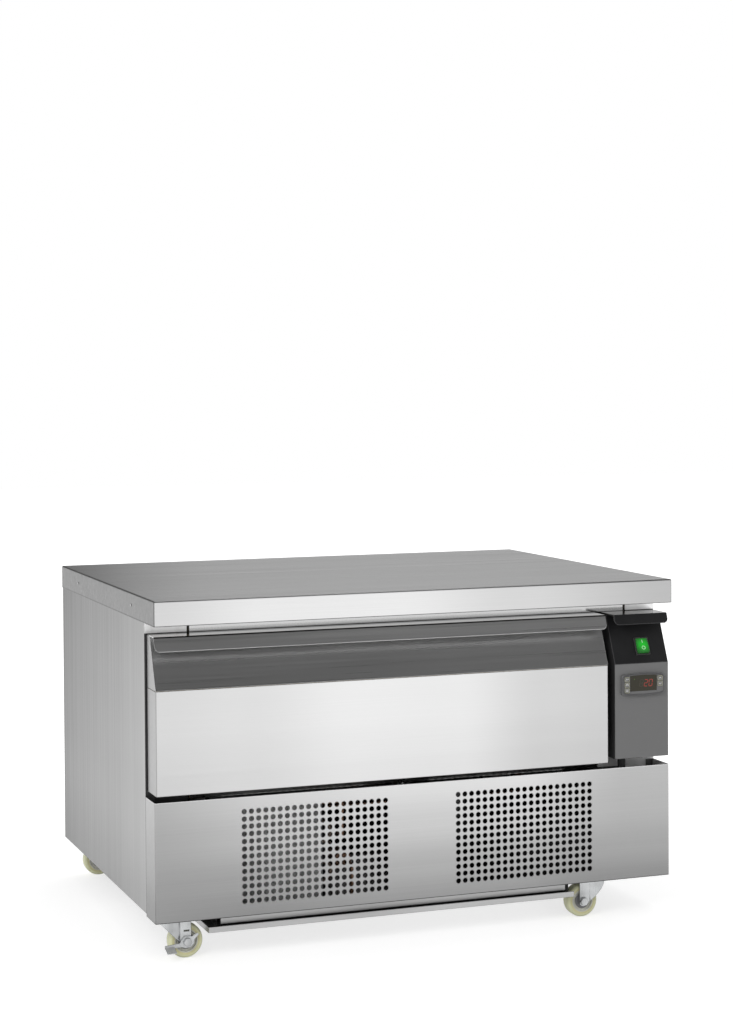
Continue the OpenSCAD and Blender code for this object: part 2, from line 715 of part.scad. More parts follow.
suction_up = 120;
evap_rows = 6;
evap_t = 52;
evap_pitch = 10;
evap_z0 = cav_z0 + seat;
evap_z1 = cav_z1 - 24;
evap_step = (evap_z1 - evap_z0) / evap_rows;
evap_end = evap_y1 - 24;
riser_y = evap_y1 + 8;
suction_runs = [[evap_xm + 18, riser_y], [evap_xm, riser_y]];
module copper_pipes() color(copper) {
    r = pipe_r;
    sz = unit_z + suction_up;
    side = shell_d / 2 + seat;
    gas_x = cond_x1 + 22;
    coil_x = cond_x1 - cond_ends + 2 + seat;
    coil_y = (cond_y0 + cond_y1) / 2;
    high = cond_z1 - cond_step / 2;
    low = cond_z0 + cond_step / 2;
    mid = unit_z + drier_up;
    // Hot gas from the compressor to the condenser
    pipe([[shell_x - side, shell_y, sz], [gas_x, shell_y, sz], [gas_x, coil_y, sz],
        [gas_x, coil_y, high], [coil_x, coil_y, high]], r);
    // Cooled liquid from the condenser to the drier
    pipe([[coil_x, coil_y, low], [drier_x, coil_y, low], [drier_x, coil_y, mid],
        [drier_x, drier_y - drier_l / 2 + eps, mid]], r);
    // Liquid from the drier up to the evaporator, and cold gas back
    pipe([[drier_x, drier_y + drier_l / 2 - eps, mid], [drier_x, unit_y1 - 40, mid],
        [evap_xm, unit_y1 - 40, mid], [evap_xm, riser_y, mid],
        [evap_xm, riser_y, evap_z0 + evap_step / 2],
        [evap_xm, evap_end + 2 + seat, evap_z0 + evap_step / 2]], r * 0.6);
    pipe([[shell_x + side, shell_y, sz], [evap_xm + 18, shell_y, sz],
        [evap_xm + 18, riser_y, sz], [evap_xm + 18, riser_y, evap_z1 - evap_step / 2],
        [evap_xm, riser_y, evap_z1 - evap_step / 2],
        [evap_xm, evap_end + 2 + seat, evap_z1 - evap_step / 2]], r);
}

module evaporator_coil() color(zinc)
    translate([evap_xm, 0, 0]) rotate([0, 0, 90])
        coil([evap_y0 + 12, evap_end], [-evap_t / 2, evap_t / 2], [evap_z0, evap_z1],
            evap_pitch, evap_rows, pipe_r);

module duct_panel() color(steel)
    along_x(duct_x, duct_x + gauge) difference() {
        translate([post_y, cav_z0]) square([cav_y1 - post_y, cavity_h]);
        translate([evap_fan_y, evap_fan_z]) circle(d = evap_fan_d + 4);
        for (i = [0 : 9]) translate([evap_y0 + 50 + i * 22, evap_fan_z]) rounded(8, 110, 3.9);
    }

evap_motor_x = duct_x + 28;
module evaporator_fan_motor() color(black) translate([0, evap_fan_y, evap_fan_z]) {
    rod_x(0, 0, 24, evap_motor_x, evap_motor_x + 34);
    rod_x(0, 0, shaft_r, duct_x + 6, evap_motor_x + 1);
    for (a = [45 : 90 : 315]) rotate([a, 0, 0]) {
        block([evap_motor_x + 2, evap_motor_x + 5], [22, evap_fan_d / 2 + 10], [-4, 4]);
        block([duct_x + gauge, evap_motor_x + 5],
            [evap_fan_d / 2 + 4, evap_fan_d / 2 + 10], [-4, 4]);
    }
}
module evaporator_fan_blade() color(grey)
    translate([duct_x + 14, evap_fan_y, evap_fan_z]) rotate([0, 0, -90])
        fan(evap_fan_d / 2 - 2, 15, 16, 5, shaft_r + run_fit);

// Pan that the melt water drains to, with its tube
pan_front = 60;
pan_back = 110;
pan_h = 35;
module drain_pan() color(grey) {
    wall = 1.5;
    x = [tray_x1 + 20, body_x1 - 30];
    y = [drain_y - pan_front, drain_y + pan_back];
    z = bay_z0 + chassis_gauge;
    difference() {
        block(x, y, [z, z + pan_h]);
        block([x[0] + wall, x[1] - wall], [y[0] + wall, y[1] - wall], [z + wall, z + pan_h + 5]);
    }
    translate([drain_x, drain_y, z + 20]) difference() {
        cylinder(r = drain_r, h = cav_z0 - z - 20);
        translate([0, 0, -1]) cylinder(r = drain_r - 2, h = cav_z0 - z);
    }
}

// Control housing: outline of its side, and the shell
module control_side(inset) {
    y0 = front_y0 + faceplate_t + inset;
    polygon([
        [y0, control_z0 + inset], [y0, knee_z], [front_y0 + inset, knee_z],
        [slope_top_y + inset * 0.9, front_z1 - inset],
        [body_y0 + (inset > 0 ? 1 : 0), front_z1 - inset],
        [body_y0 + (inset > 0 ? 1 : 0), control_z0 + inset]
    ]);
}
module control_lip() {
    y1 = slope_top_y - control_reach;
    y2 = y1 - lip_run * control_lip_h / lip_h;
    polygon([
        [slope_top_y + 4, front_z1], [y1, front_z1], [y2, front_z1 - control_lip_h],
        [y2 + control_wall, front_z1 - control_lip_h],
        [y1 + control_wall, front_z1 - control_wall], [slope_top_y + 4, front_z1 - control_wall]
    ]);
}

// Rounds off the two lower corners of a lip that hangs between x0 and x1
module lip_corners(x0, x1, z, r, y0, y1)
    for (e = [[x0, 1], [x1, -1]]) difference() {
        block([min(e[0] - e[1], e[0] + e[1] * r), max(e[0] - e[1], e[0] + e[1] * r)],
            [y0, y1], [z - 1, z + r]);
        rod_y(e[0] + e[1] * r, z + r, r, y0 - 1, y1 + 1);
    }

module control_housing() color(black) difference() {
    union() {
        along_x(control_x0, control_x1) control_side(0);
        along_x(control_x0, control_x1) control_lip();
    }
    along_x(control_x0 + control_wall, control_x1 - control_wall) control_side(control_wall);
    lip_corners(control_x0, control_x1, front_z1 - control_lip_h, lip_r,
        front_y0 - 30, slope_top_y - control_reach + control_wall + 1);
    on_slope() translate([0, 0, -25])
        linear_extrude(50) square([switch_w - 2, switch_h - 2], center = true);
    on_front() translate([0, 0, -25])
        linear_extrude(50) square([bezel_w - 6, bezel_h - 5], center = true);
    translate([boot_x, boot_y, control_z0 - 5]) cylinder(r = boot_r - 1, h = 10);
}

module control_faceplate() color(grey) on_face(control_xm, front_y0 + faceplate_t, control_z0, 90)
    linear_extrude(faceplate_t) difference() {
        translate([-control_w / 2, 0]) square([control_w, knee_z - control_z0]);
        translate([bezel_side, controller_z - control_z0])
            square([bezel_w - 6, bezel_h - 5], center = true);
    }

// Rocker switch: a bezel on the slope with its body behind, and the rocker
rocker_axis = -1.5;
rocker_gap = 0.4;
module switch_body() color(black) on_slope() difference() {
    union() {
        linear_extrude(2) rounded(switch_w, switch_h, 1.5);
        translate([0, 0, -20]) linear_extrude(20.5)
            square([switch_w - 2 - 2 * run_fit, switch_h - 2 - 2 * run_fit], center = true);
    }
    translate([0, 0, -12]) linear_extrude(20)
        square([rocker_w + 2 * rocker_gap, rocker_h + 2 * rocker_gap + 0.6], center = true);
}

// Rocker's side: two faces that meet at its middle, on a round belly
module rocker_side() {
    h = rocker_h / 2;
    rise = h * tan(rocker_tilt);
    intersection() {
        polygon([[-h, rise + 2.2], [0, 1.6], [h, rise + 2.2], [h, -6], [-h, -6]]);
        translate([0, rocker_axis]) circle(h);
    }
}
module switch_rocker() color("limegreen") on_slope() translate([0, 0, rocker_axis])
    rotate([-rocker_tilt, 0, 0]) translate([rocker_w / 2, 0, -rocker_axis])
        rotate([0, -90, 0]) rotate([0, 0, 90]) mirror([1, 0, 0])
            linear_extrude(rocker_w) rocker_side();

// Controller: a moulded bezel whose long sides bow out, with its case behind
module bezel_outline() {
    bow = 300;
    intersection() {
        rounded(bezel_w, bezel_h, bezel_corner);
        translate([0, bezel_h / 2 - bow]) circle(bow, $fn = 256);
        translate([0, bow - bezel_h / 2]) circle(bow, $fn = 256);
    }
}
function key_place(side, row) = [side * key_col, key_rows[row]];
module controller_case() color(grey) on_front() difference() {
    union() {
        linear_extrude(bezel_t) bezel_outline();
        translate([0, 0, -case_depth]) linear_extrude(case_depth + 0.5)
            square([bezel_w - 6 - 2 * run_fit, bezel_h - 5 - 2 * run_fit], center = true);
    }
    translate([-display_w / 2, display_up - display_h / 2, bezel_t - 1.5])
        cube([display_w, display_h, 5]);
    for (k = [[-1, 0], [-1, 1], [-1, 2], [1, 0], [1, 1]])
        translate([key_place(k[0], k[1])[0], key_place(k[0], k[1])[1], bezel_t - 2])
            linear_extrude(5) rounded(key_w + 2 * key_gap, key_h + 2 * key_gap, 1.5);
}
module display_window() color("black") on_front()
    translate([-display_w / 2, display_up - display_h / 2, bezel_t - 1.5])
        cube([display_w, display_h, 1.3]);
module key(side, row) color("lightgrey") on_front()
    translate([key_place(side, row)[0], key_place(side, row)[1], bezel_t - 2 + key_travel + seat])
        linear_extrude(2 - key_travel - seat + key_stand) rounded(key_w, key_h, 1.2);
module key_left_1() key(-1, 0);
module key_left_2() key(-1, 1);
module key_left_3() key(-1, 2);
module key_right_1() key(1, 0);
module key_right_2() key(1, 1);

// Boot that takes the wires from the housing down into the machine bay
boot_x = control_x0 + 26;
boot_y = yf(40);
boot_r = 7;
module loom_boot() color(black) {
    translate([boot_x, boot_y, fascia_z1 - 30]) rotate_extrude() {
        square([boot_r - 2.5, 30]);
        polygon([[0, 25], [boot_r - 2.5, 25], [boot_r, control_z0 - fascia_z1 + 30],
            [0, control_z0 - fascia_z1 + 30]]);
        square([boot_r - 1 - run_fit, control_z0 - fascia_z1 + 30 + control_wall]);
    }
    pipe([[boot_x, boot_y, fascia_z1 - 29], [boot_x, body_y0 + 40, fascia_z1 - 45]], boot_r - 2.5);
}

module cable_gland() color(black) difference() {
    union() {
        rod_y(gland_x, gland_z, gland_r, body_y1 - 18, body_y1 - gauge);
        rod_y(gland_x, gland_z, gland_r, body_y1 - gauge - 1, body_y1);
        translate([gland_x, body_y1 - gauge, gland_z]) rotate([90, 0, 0])
            cylinder(r = 13, h = 6, $fn = 6);
    }
    rod_y(gland_x, gland_z, 4.5, body_y1 - 30, body_y1 + 5);
}

// Slides: three nested members on each side, drawn for the left
module slide_pair() {
    translate([cav_x0 + seat / 2, 0, 0]) children();
    translate([duct_x - seat / 2, 0, 0]) mirror([1, 0, 0]) children();
}
// C-shaped member from x0 to x1, its web at the end given by web
module member(x0, x1, h, web, y0) along_y(y0, y0 + slide_l) {
    g = slide_gauge;
    translate([web > 0 ? x1 - g : x0, slide_z - h / 2]) square([g, h]);
    for (z = [slide_z - h / 2, slide_z + h / 2 - g]) translate([x0, z]) square([x1 - x0, g]);
}
middle_h = slide_h - 2 * slide_gauge - 2 * slide_gap;
inner_h = middle_h - 2 * slide_gauge - 2 * slide_gap;
module slide_outer() color(zinc) slide_pair() member(0, slide_t - 2, slide_h, -1, slide_y0);
module slide_middle() color(zinc) slide_pair()
    member(slide_gauge + slide_gap, slide_t - 1, middle_h, -1, slide_y0);
module slide_inner() color(zinc) slide_pair()
    member(2 * (slide_gauge + slide_gap), slide_t + seat / 2, inner_h, 1, slide_y0);

// Drawer front: a folded skin below the slope, the handle section above it
module drawer_skin() color(steel) {
    g = drawer_gauge;
    difference() {
        translate([0, 0, front_z0]) linear_extrude(knee_z - front_z0 - seam / 2)
            folded_plan(front_x0, front_x1, front_y0, front_y1, 2);
        translate([0, 0, front_z0 + g]) linear_extrude(knee_z - front_z0)
            folded_plan(front_x0 + g, front_x1 - g, front_y0 + g, front_y1 + 5, 1);
    }
}

// Side outline of the slope section, inset from its outside
module slope_side(g) polygon([
    [front_y0 + g, knee_z + (g > 0 ? -1 : seam / 2)], [front_y0 + g, knee_z + seam / 2],
    [slope_top_y + g, front_z1 - g], [front_y1 + (g > 0 ? 5 : 0), front_z1 - g],
    [front_y1 + (g > 0 ? 5 : 0), knee_z + (g > 0 ? -1 : seam / 2)]
]);
module drawer_handle() color(steel) {
    g = drawer_gauge;
    y1 = slope_top_y - handle_reach;
    difference() {
        along_x(front_x0, front_x1) slope_side(0);
        along_x(front_x0 + g, front_x1 - g) slope_side(g);
    }
    difference() {
        along_x(front_x0, front_x1) polygon([
            [slope_top_y + g, front_z1], [y1, front_z1], [y1 - lip_run, front_z1 - lip_h],
            [y1 - lip_run + g, front_z1 - lip_h], [y1 + g, front_z1 - g],
            [slope_top_y + g, front_z1 - g]
        ]);
        lip_corners(front_x0, front_x1, front_z1 - lip_h, lip_r, front_y0 - 20, y1 + 4);
    }
}

module drawer_foam() color("khaki") {
    g = drawer_gauge;
    block([front_x0 + g, front_x1 - g], [front_y0 + g + 1, front_y1 - g],
        [front_z0 + g, knee_z]);
    along_x(front_x0 + g, front_x1 - g) polygon([
        [front_y0 + g + 1, knee_z - 1], [front_y0 + g + 1, knee_z + seam / 2],
        [slope_top_y + g + 1, front_z1 - g], [front_y1 - g, front_z1 - g],
        [front_y1 - g, knee_z - 1]
    ]);
}

module drawer_inner_panel() color(steel)
    block([front_x0 + drawer_gauge, front_x1 - drawer_gauge], [front_y1 - drawer_gauge, front_y1],
        [front_z0 + drawer_gauge, front_z1 - drawer_gauge]);

// Gasket ring on the back of the drawer front, with a groove along its face
module gasket_ring(lap, w) difference() {
    translate([cav_x0 - lap - w, cav_z0 - lap - w])
        square([duct_x - cav_x0 + 2 * (lap + w), cavity_h + 2 * (lap + w)]);
    translate([cav_x0 - lap, cav_z0 - lap])
        square([duct_x - cav_x0 + 2 * lap, cavity_h + 2 * lap]);
}
module drawer_gasket() color(black) difference() {
    along_y(front_y1, body_y0 - seat) gasket_ring(gasket_lap, gasket_w);
    along_y(body_y0 - seat - 1.5, body_y0) gasket_ring(gasket_lap + 5, gasket_w - 10);
}

// Frame of folded bars that two pans hang in by their rims
module pan_frame() color(steel) {
    g = frame_gauge;
    z0 = slide_z - frame_h / 2;
    z1 = slide_z + frame_h / 2;
    zl = z1 - ledge_drop;
    y0 = frame_y0 + g + frame_end;
    x0 = frame_x0 + g + frame_ledge;
    difference() {
        block([frame_x0, frame_x1], [frame_y0, frame_y1], [z0, z1]);
        block([frame_x0 + g, frame_x1 - g], [frame_y0 + g, frame_y1 - g], [z0 - 1, zl - g]);
        block([frame_x0 + g, frame_x1 - g], [frame_y0 + g, frame_y1 - g], [zl, z1 + 1]);
        for (x = [x0, x0 + pan_w + pan_bar])
            block([x, x + pan_w], [y0, y0 + pan_l], [zl - g - 1, zl + 1]);
    }
    block([x0 + pan_w + 4, x0 + pan_w + pan_bar - 4], [frame_y0 + g, frame_y1 - g],
        [zl - 16, zl - g]);
}

// Castor: plate with its race and kingpin
kingpin_r = 4;
bolt_pitch = 34;
bolt_r = 3;
module bolt_holes(z0, h) for (i = [-1, 1], j = [-1, 1])
    translate([i * bolt_pitch / 2, j * bolt_pitch / 2, z0]) cylinder(r = bolt_r + 0.2, h = h);
module castor_plates() color(zinc) for (c = [FL, FR, RL, RR]) at_castor(c) {
    difference() {
        translate([0, 0, castor_h - plate_t]) linear_extrude(plate_t) rounded(plate_w, plate_w, 4);
        bolt_holes(castor_h - 5, 10);
    }
    translate([0, 0, castor_h - plate_t - race_t]) cylinder(r = 15, h = race_t);
    translate([0, 0, crown_z0 - 4]) cylinder(r = kingpin_r, h = castor_h - crown_z0);
    translate([0, 0, crown_z0 - seat - 3]) cylinder(r = 7.5, h = 3);
}

// Fork: a crown over two cheeks, the sheet bowed out round the swivel
fork_bow = 20;
fork_heel = castor_offset + 7;
module fork_plan(g) {
    translate([0, -cheek_out + g]) square([fork_heel, 2 * (cheek_out - g)]);
    circle(fork_bow - g, $fn = 96);
}
module fork_side() {
    b = 8.5;
    translate([castor_offset, axle_z]) circle(b);
    polygon([[fork_heel, crown_z1], [fork_heel, axle_z], [castor_offset + b, axle_z],
        [castor_offset - b * cos(45), axle_z - b * sin(45)],
        [-fork_bow - 1, axle_z + fork_bow + 1 + castor_offset - b * 1.42],
        [-fork_bow - 1, crown_z1]]);
}
module castor_fork(c, brake) color(zinc) at_castor(c) {
    difference() {
        union() {
            intersection() {
                linear_extrude(crown_z1) difference() {
                    fork_plan(0);
                    fork_plan(fork_t);
                }
                along_y(-30, 30) fork_side();
            }
            translate([0, 0, crown_z0]) linear_extrude(crown_z1 - crown_z0) fork_plan(0);
        }
        if (brake) block([castor_offset - 5, castor_offset + 4],
            [-cheek_out - 1, -cheek_in + 1], [axle_z + 16, axle_z + 18.5]);
        translate([0, 0, crown_z0 - 5]) cylinder(r = kingpin_r + run_fit, h = 12);
        rod_y(castor_offset, axle_z, axle_r + run_fit, -30, 30);
    }
    side = brake ? cheek_out + pedal_t + 2 * seat : cheek_out + seat;
    rod_y(castor_offset, axle_z, axle_r, -side - 1, cheek_out + 1);
    translate([castor_offset, -side, axle_z]) rotate([90, 0, 0])
        cylinder(d = 14, h = head_t, $fn = 6);
    translate([castor_offset, cheek_out + seat + head_t, axle_z]) rotate([90, 0, 0])
        cylinder(d = 14, h = head_t, $fn = 6);
}

// Wheel: a nylon tyre on a plain hub, about its own axle
module castor_wheel(c) color(nylon) at_castor(c)
    translate([castor_offset, 0, axle_z]) rotate([90, 0, 0]) {
        r = wheel_d / 2;
        w = wheel_w / 2;
        hub = 13;
        rotate_extrude($fn = 96) {
            translate([hub - 1, -w + 3]) square([r - hub - 4, wheel_w - 6]);
            translate([hub + 4, -w]) square([r - hub - 9, wheel_w]);
            translate([r - 6, -w + 5]) square([6, wheel_w - 10]);
            for (s = [-1, 1]) translate([r - 5, s * (w - 5)]) circle(5);
        }
        rotate_extrude($fn = 64) {
            translate([axle_r + run_fit, -w - wheel_side]) square([3, wheel_w + 2 * wheel_side]);
            translate([axle_r + run_fit, -w + 1.5]) square([hub - axle_r - run_fit, wheel_w - 3]);
        }
    }

// Brake pedal: a plate on the axle's head side, with its tread turned out
pedal_reach = 36;
tread_w = 15;
tread_l = 17;
module brake_pedal(c) color(zinc) at_castor(c) {
    y0 = -cheek_out - seat - pedal_t;
    translate([castor_offset, y0 + pedal_t, axle_z]) rotate([90, 0, 0])
        linear_extrude(pedal_t) difference() {
            polygon([[-4, 9], [8, 8], [17, 13], [19, 10], [12, 3], [11, -4], [6, -9], [-3, -10],
                [-8, -8], [-pedal_reach, -9], [-pedal_reach, -4], [-12, -1.5], [-9, 4]]);
            circle(axle_r + run_fit);
        }
    translate([castor_offset - pedal_reach, y0 + pedal_t, axle_z - 7]) rotate([16, 0, 0])
        block([0, tread_w], [-tread_l - pedal_t, 0], [-pedal_t / 2, pedal_t / 2]);
}

// Castor bolts and the screws in the worktop's edge
module fasteners() color(zinc) {
    for (c = [FL, FR, RL, RR]) at_castor(c) for (i = [-1, 1], j = [-1, 1])
        translate([i * bolt_pitch / 2, j * bolt_pitch / 2, castor_h - plate_t - 2.2]) {
            cylinder(d = 8, h = 2.2, $fn = 6);
            cylinder(r = bolt_r, h = 2.2 + plate_t + chassis_gauge + 2);
        }
    for (e = [[xl(0), -1], [xr(0), 1]], y = [yf(153), yb(144)])
        translate([e[0], y, body_z1 + edge_h / 2]) rotate([0, e[1] * 90, 0])
            cylinder(r = 2.2, h = 0.8);
}

worktop();
worktop_core();
side_panel_left();
side_panel_right();
back_panel();
front_frame();
cavity_liner();
foam_insulation();
bay_ceiling();
base_chassis();
fascia();
machine_tray();
unit_base();
compressor();
compressor_grommets();
condenser_coil();
fan_shroud();
condenser_fan_motor();
condenser_fan_blade();
filter_drier();
copper_pipes();
evaporator_coil();
duct_panel();
evaporator_fan_motor();
evaporator_fan_blade();
drain_pan();
control_housing();
control_faceplate();
switch_body();
switch_rocker();
controller_case();
display_window();
key_left_1();
key_left_2();
key_left_3();
key_right_1();
key_right_2();
loom_boot();
cable_gland();
slide_outer();
slide_middle();
slide_inner();
drawer_skin();
drawer_foam();
drawer_inner_panel();
drawer_handle();
drawer_gasket();
pan_frame();
castor_plates();
castor_fork(FL, true);  // castor_fork_fl
castor_fork(FR, true);  // castor_fork_fr
castor_fork(RL, false);  // castor_fork_rl
castor_fork(RR, false);  // castor_fork_rr
castor_wheel(FL);  // castor_wheel_fl
castor_wheel(FR);  // castor_wheel_fr
castor_wheel(RL);  // castor_wheel_rl
castor_wheel(RR);  // castor_wheel_rr
brake_pedal(FL);  // brake_pedal_fl
brake_pedal(FR);  // brake_pedal_fr
fasteners();
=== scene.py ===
"""Looks of the refrigerated drawer: its steels and plastics, the small parts of its
controls, the condenser behind the grille, a pale studio and the camera."""

import bpy
import numpy as np
from mathutils import Matrix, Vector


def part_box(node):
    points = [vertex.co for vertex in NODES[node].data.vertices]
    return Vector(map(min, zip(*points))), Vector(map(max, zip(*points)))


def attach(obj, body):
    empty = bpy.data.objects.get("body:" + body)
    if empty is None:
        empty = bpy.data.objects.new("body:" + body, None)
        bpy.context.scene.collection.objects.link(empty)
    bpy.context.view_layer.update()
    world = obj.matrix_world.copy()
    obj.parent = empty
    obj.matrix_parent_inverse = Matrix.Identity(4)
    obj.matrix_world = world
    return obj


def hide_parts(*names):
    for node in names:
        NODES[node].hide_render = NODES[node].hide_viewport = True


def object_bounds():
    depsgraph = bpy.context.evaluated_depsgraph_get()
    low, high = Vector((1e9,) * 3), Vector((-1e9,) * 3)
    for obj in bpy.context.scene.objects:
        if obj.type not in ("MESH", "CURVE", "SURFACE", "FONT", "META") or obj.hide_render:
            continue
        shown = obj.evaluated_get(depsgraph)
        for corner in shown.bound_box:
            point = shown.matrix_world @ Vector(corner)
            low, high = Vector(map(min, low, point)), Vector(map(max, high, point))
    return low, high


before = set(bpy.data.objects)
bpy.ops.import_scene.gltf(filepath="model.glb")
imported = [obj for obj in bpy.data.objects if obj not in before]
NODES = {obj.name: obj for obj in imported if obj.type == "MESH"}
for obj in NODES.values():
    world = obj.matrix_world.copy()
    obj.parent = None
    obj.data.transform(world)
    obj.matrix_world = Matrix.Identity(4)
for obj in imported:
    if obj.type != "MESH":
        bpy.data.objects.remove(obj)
CAD_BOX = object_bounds()
MM = 0.001
TOP = CAD_BOX[1][2]
BOX = {name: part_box(name) for name in NODES}


# Camera: focal length and principal point in pixels of the 733 x 1024 photograph, and the
# view's turn (a rotation vector in degrees) and shift in millimetres, counted to the right,
# down and back from the worktop's front left corner.

IMAGE_W, IMAGE_H = 733, 1024
FOCAL_PX = 2206.0
PRINCIPAL = (437.5, 422.1)
ROTATION = (1.23, -21.22, -0.56)
SHIFT_MM = (-441.0, 279.0, 3427.0)
HALF_W_MM, HALF_D_MM = 450, 350


def rotation_matrix(degrees):
    """Rodrigues' formula: I + sin(t) K + (1 - cos(t)) K K for the rotation vector."""
    v = np.radians(degrees)
    t = np.linalg.norm(v)
    k = v / t
    cross = np.array([[0, -k[2], k[1]], [k[2], 0, -k[0]], [-k[1], k[0], 0]])
    return np.eye(3) + np.sin(t) * cross + (1 - np.cos(t)) * cross @ cross


def make_camera():
    """Turns the fitted view (right, down, forward) into a Blender camera (right, up, back)."""
    turn = rotation_matrix(ROTATION)
    place = -turn.T @ np.array(SHIFT_MM)
    to_view = turn @ np.array([[1, 0, 0], [0, 0, -1], [0, 1, 0]])
    matrix = np.eye(4)
    matrix[:3, :3] = np.column_stack([to_view[0], -to_view[1], -to_view[2]])
    matrix[:3, 3] = [(place[0] - HALF_W_MM) * MM, (place[2] - HALF_D_MM) * MM,
                     TOP - place[1] * MM]
    data = bpy.data.cameras.new("camera")
    data.sensor_width = 36
    data.lens = FOCAL_PX / IMAGE_H * data.sensor_width
    data.shift_x = (IMAGE_W / 2 - PRINCIPAL[0]) / IMAGE_H
    data.shift_y = (PRINCIPAL[1] - IMAGE_H / 2) / IMAGE_H
    data.clip_end = 60
    camera = bpy.data.objects.new("camera", data)
    camera.matrix_world = Matrix(matrix.tolist())
    bpy.context.scene.collection.objects.link(camera)
    bpy.context.scene.camera = camera


make_camera()


# Meshes from arrays

BOX_CORNERS = np.array([[x, y, z] for x in (0, 1) for y in (0, 1) for z in (0, 1)], float)
BOX_FACES = np.array([[0, 1, 3, 2], [4, 6, 7, 5], [0, 4, 5, 1], [2, 3, 7, 6], [0, 2, 6, 4],
                      [1, 5, 7, 3]])
TUBE_SIDES = 12
OFF_THE_TUBE = np.array([0.11, 0.97, 0.2])   # a direction that no run of the tube takes


def mesh_piece(name, points, faces, body, material, slot, smooth=True):
    """An object from an array of points in metres and an array or list of faces."""
    mesh = bpy.data.meshes.new(name)
    mesh.from_pydata(np.asarray(points, float).tolist(), [],
                     faces.tolist() if isinstance(faces, np.ndarray) else faces)
    mesh.update()
    mesh.polygons.foreach_set("use_smooth", np.full(len(mesh.polygons), smooth))
    piece = bpy.data.objects.new(name, mesh)
    bpy.context.scene.collection.objects.link(piece)
    mesh.materials.append(material)
    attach(piece, body)
    return piece


def grid_faces(rows, cols, close_rows=False, close_cols=False):
    """Quads of a grid of rows x cols points, joined to its start where it closes."""
    i = np.arange(rows if close_rows else rows - 1)[:, None]
    j = np.arange(cols if close_cols else cols - 1)[None, :]
    i1, j1 = (i + 1) % rows, (j + 1) % cols
    quads = [i * cols + j, i1 * cols + j, i1 * cols + j1, i * cols + j1]
    return np.stack([np.broadcast_to(q, (i.size, j.size)) for q in quads], -1).reshape(-1, 4)


def boxes(low, high):
    """Blocks from arrays of lowest and highest corners: low + corner x (high - low)."""
    low, high = np.atleast_2d(low).astype(float), np.atleast_2d(high).astype(float)
    points = low[:, None] + BOX_CORNERS[None] * (high - low)[:, None]
    faces = BOX_FACES[None] + 8 * np.arange(len(low))[:, None, None]
    return points.reshape(-1, 3), faces.reshape(-1, 4)


def tube_along(path, radius):
    """Circles of one radius at each point of the path, in planes across its direction."""
    path = np.asarray(path, float)
    along = np.gradient(path, axis=0)
    along /= np.linalg.norm(along, axis=1, keepdims=True)
    side = np.cross(along, OFF_THE_TUBE)
    side /= np.linalg.norm(side, axis=1, keepdims=True)
    up = np.cross(side, along)
    t = np.linspace(0, 2 * np.pi, TUBE_SIDES, endpoint=False)
    ring = np.cos(t)[None, :, None] * side[:, None] + np.sin(t)[None, :, None] * up[:, None]
    points = (path[:, None] + radius * ring).reshape(-1, 3)
    return points, grid_faces(len(path), TUBE_SIDES, close_cols=True)[:, ::-1]


# Node groups that several finishes share

VECTOR, FLOAT = "NodeSocketVector", "NodeSocketFloat"


class Graph:
    """A node tree with short ways to add a node and to join its sockets."""

    def __init__(self, tree):
        self.tree = tree

    def feed(self, socket, value):
        """Links the value to the socket if it is a socket too, and otherwise sets it."""
        if isinstance(value, bpy.types.NodeSocket):
            self.tree.links.new(value, socket)
        else:
            socket.default_value = value

    def add(self, kind, inputs=None, **settings):
        """A node with its settings, and its inputs by name or number."""
        node = self.tree.nodes.new(kind)
        for key, value in settings.items():
            setattr(node, key, value)
        for key, value in (inputs or {}).items():
            self.feed(node.inputs[key], value)
        return node

    def group(self, tree, inputs):
        """What a shared group puts out for these inputs."""
        return self.add("ShaderNodeGroup", inputs, node_tree=tree).outputs

    def math(self, operation, a, b=0.0, clamp=False):
        """Two values joined by an operation, held between 0 and 1 if clamped."""
        return self.add("ShaderNodeMath", {0: a, 1: b}, operation=operation,
                        use_clamp=clamp).outputs[0]

    def vector(self, operation, *values):
        """Vectors joined by an operation: its vector is output 0, its number Value."""
        return self.add("ShaderNodeVectorMath", dict(enumerate(values)),
                        operation=operation).outputs

    def mix(self, factor, a, b, blend="MIX"):
        """Colours a (1 - factor) + b factor, or a and b blended as named."""
        return self.add("ShaderNodeMix", {"Factor": factor, 6: a, 7: b}, data_type="RGBA",
                        blend_type=blend).outputs[2]

    def blended(self, mask, a, b):
        """Values a (1 - mask) + b mask."""
        return self.math("ADD", self.math("MULTIPLY", a, self.math("SUBTRACT", 1.0, mask)),
                         self.math("MULTIPLY", mask, b))

    def remap(self, value, low, high, out_low, out_high, smooth=False):
        """low..high carried to out_low..out_high, in a straight line or eased at both ends."""
        return self.add("ShaderNodeMapRange", {"Value": value, "From Min": low, "From Max": high,
                                               "To Min": out_low, "To Max": out_high},
                        interpolation_type="SMOOTHSTEP" if smooth else "LINEAR").outputs[0]

    def noise(self, vector, scale, detail=2.0, roughness=0.5):
        """Noise with so many bumps to the metre."""
        return self.add("ShaderNodeTexNoise", {"Vector": vector, "Scale": scale, "Detail": detail,
                                               "Roughness": roughness}).outputs["Fac"]

    def grey_of(self, level):
        """A grey colour of a changing level."""
        return self.add("ShaderNodeCombineColor", {0: level, 1: level, 2: level}).outputs[0]


def new_group(name, inputs, outputs):
    """An empty group's graph, what comes in, and where its results go; an input is (name, kind,
    value) and an output (name, kind)."""
    tree = bpy.data.node_groups.new(name, "ShaderNodeTree")
    for label, kind, value in inputs:
        socket = tree.interface.new_socket(label, in_out="INPUT", socket_type=kind)
        if value is not None:
            socket.default_value = value
    for label, kind in outputs:
        tree.interface.new_socket(label, in_out="OUTPUT", socket_type=kind)
    g = Graph(tree)
    return g, g.add("NodeGroupInput").outputs, g.add("NodeGroupOutput").inputs


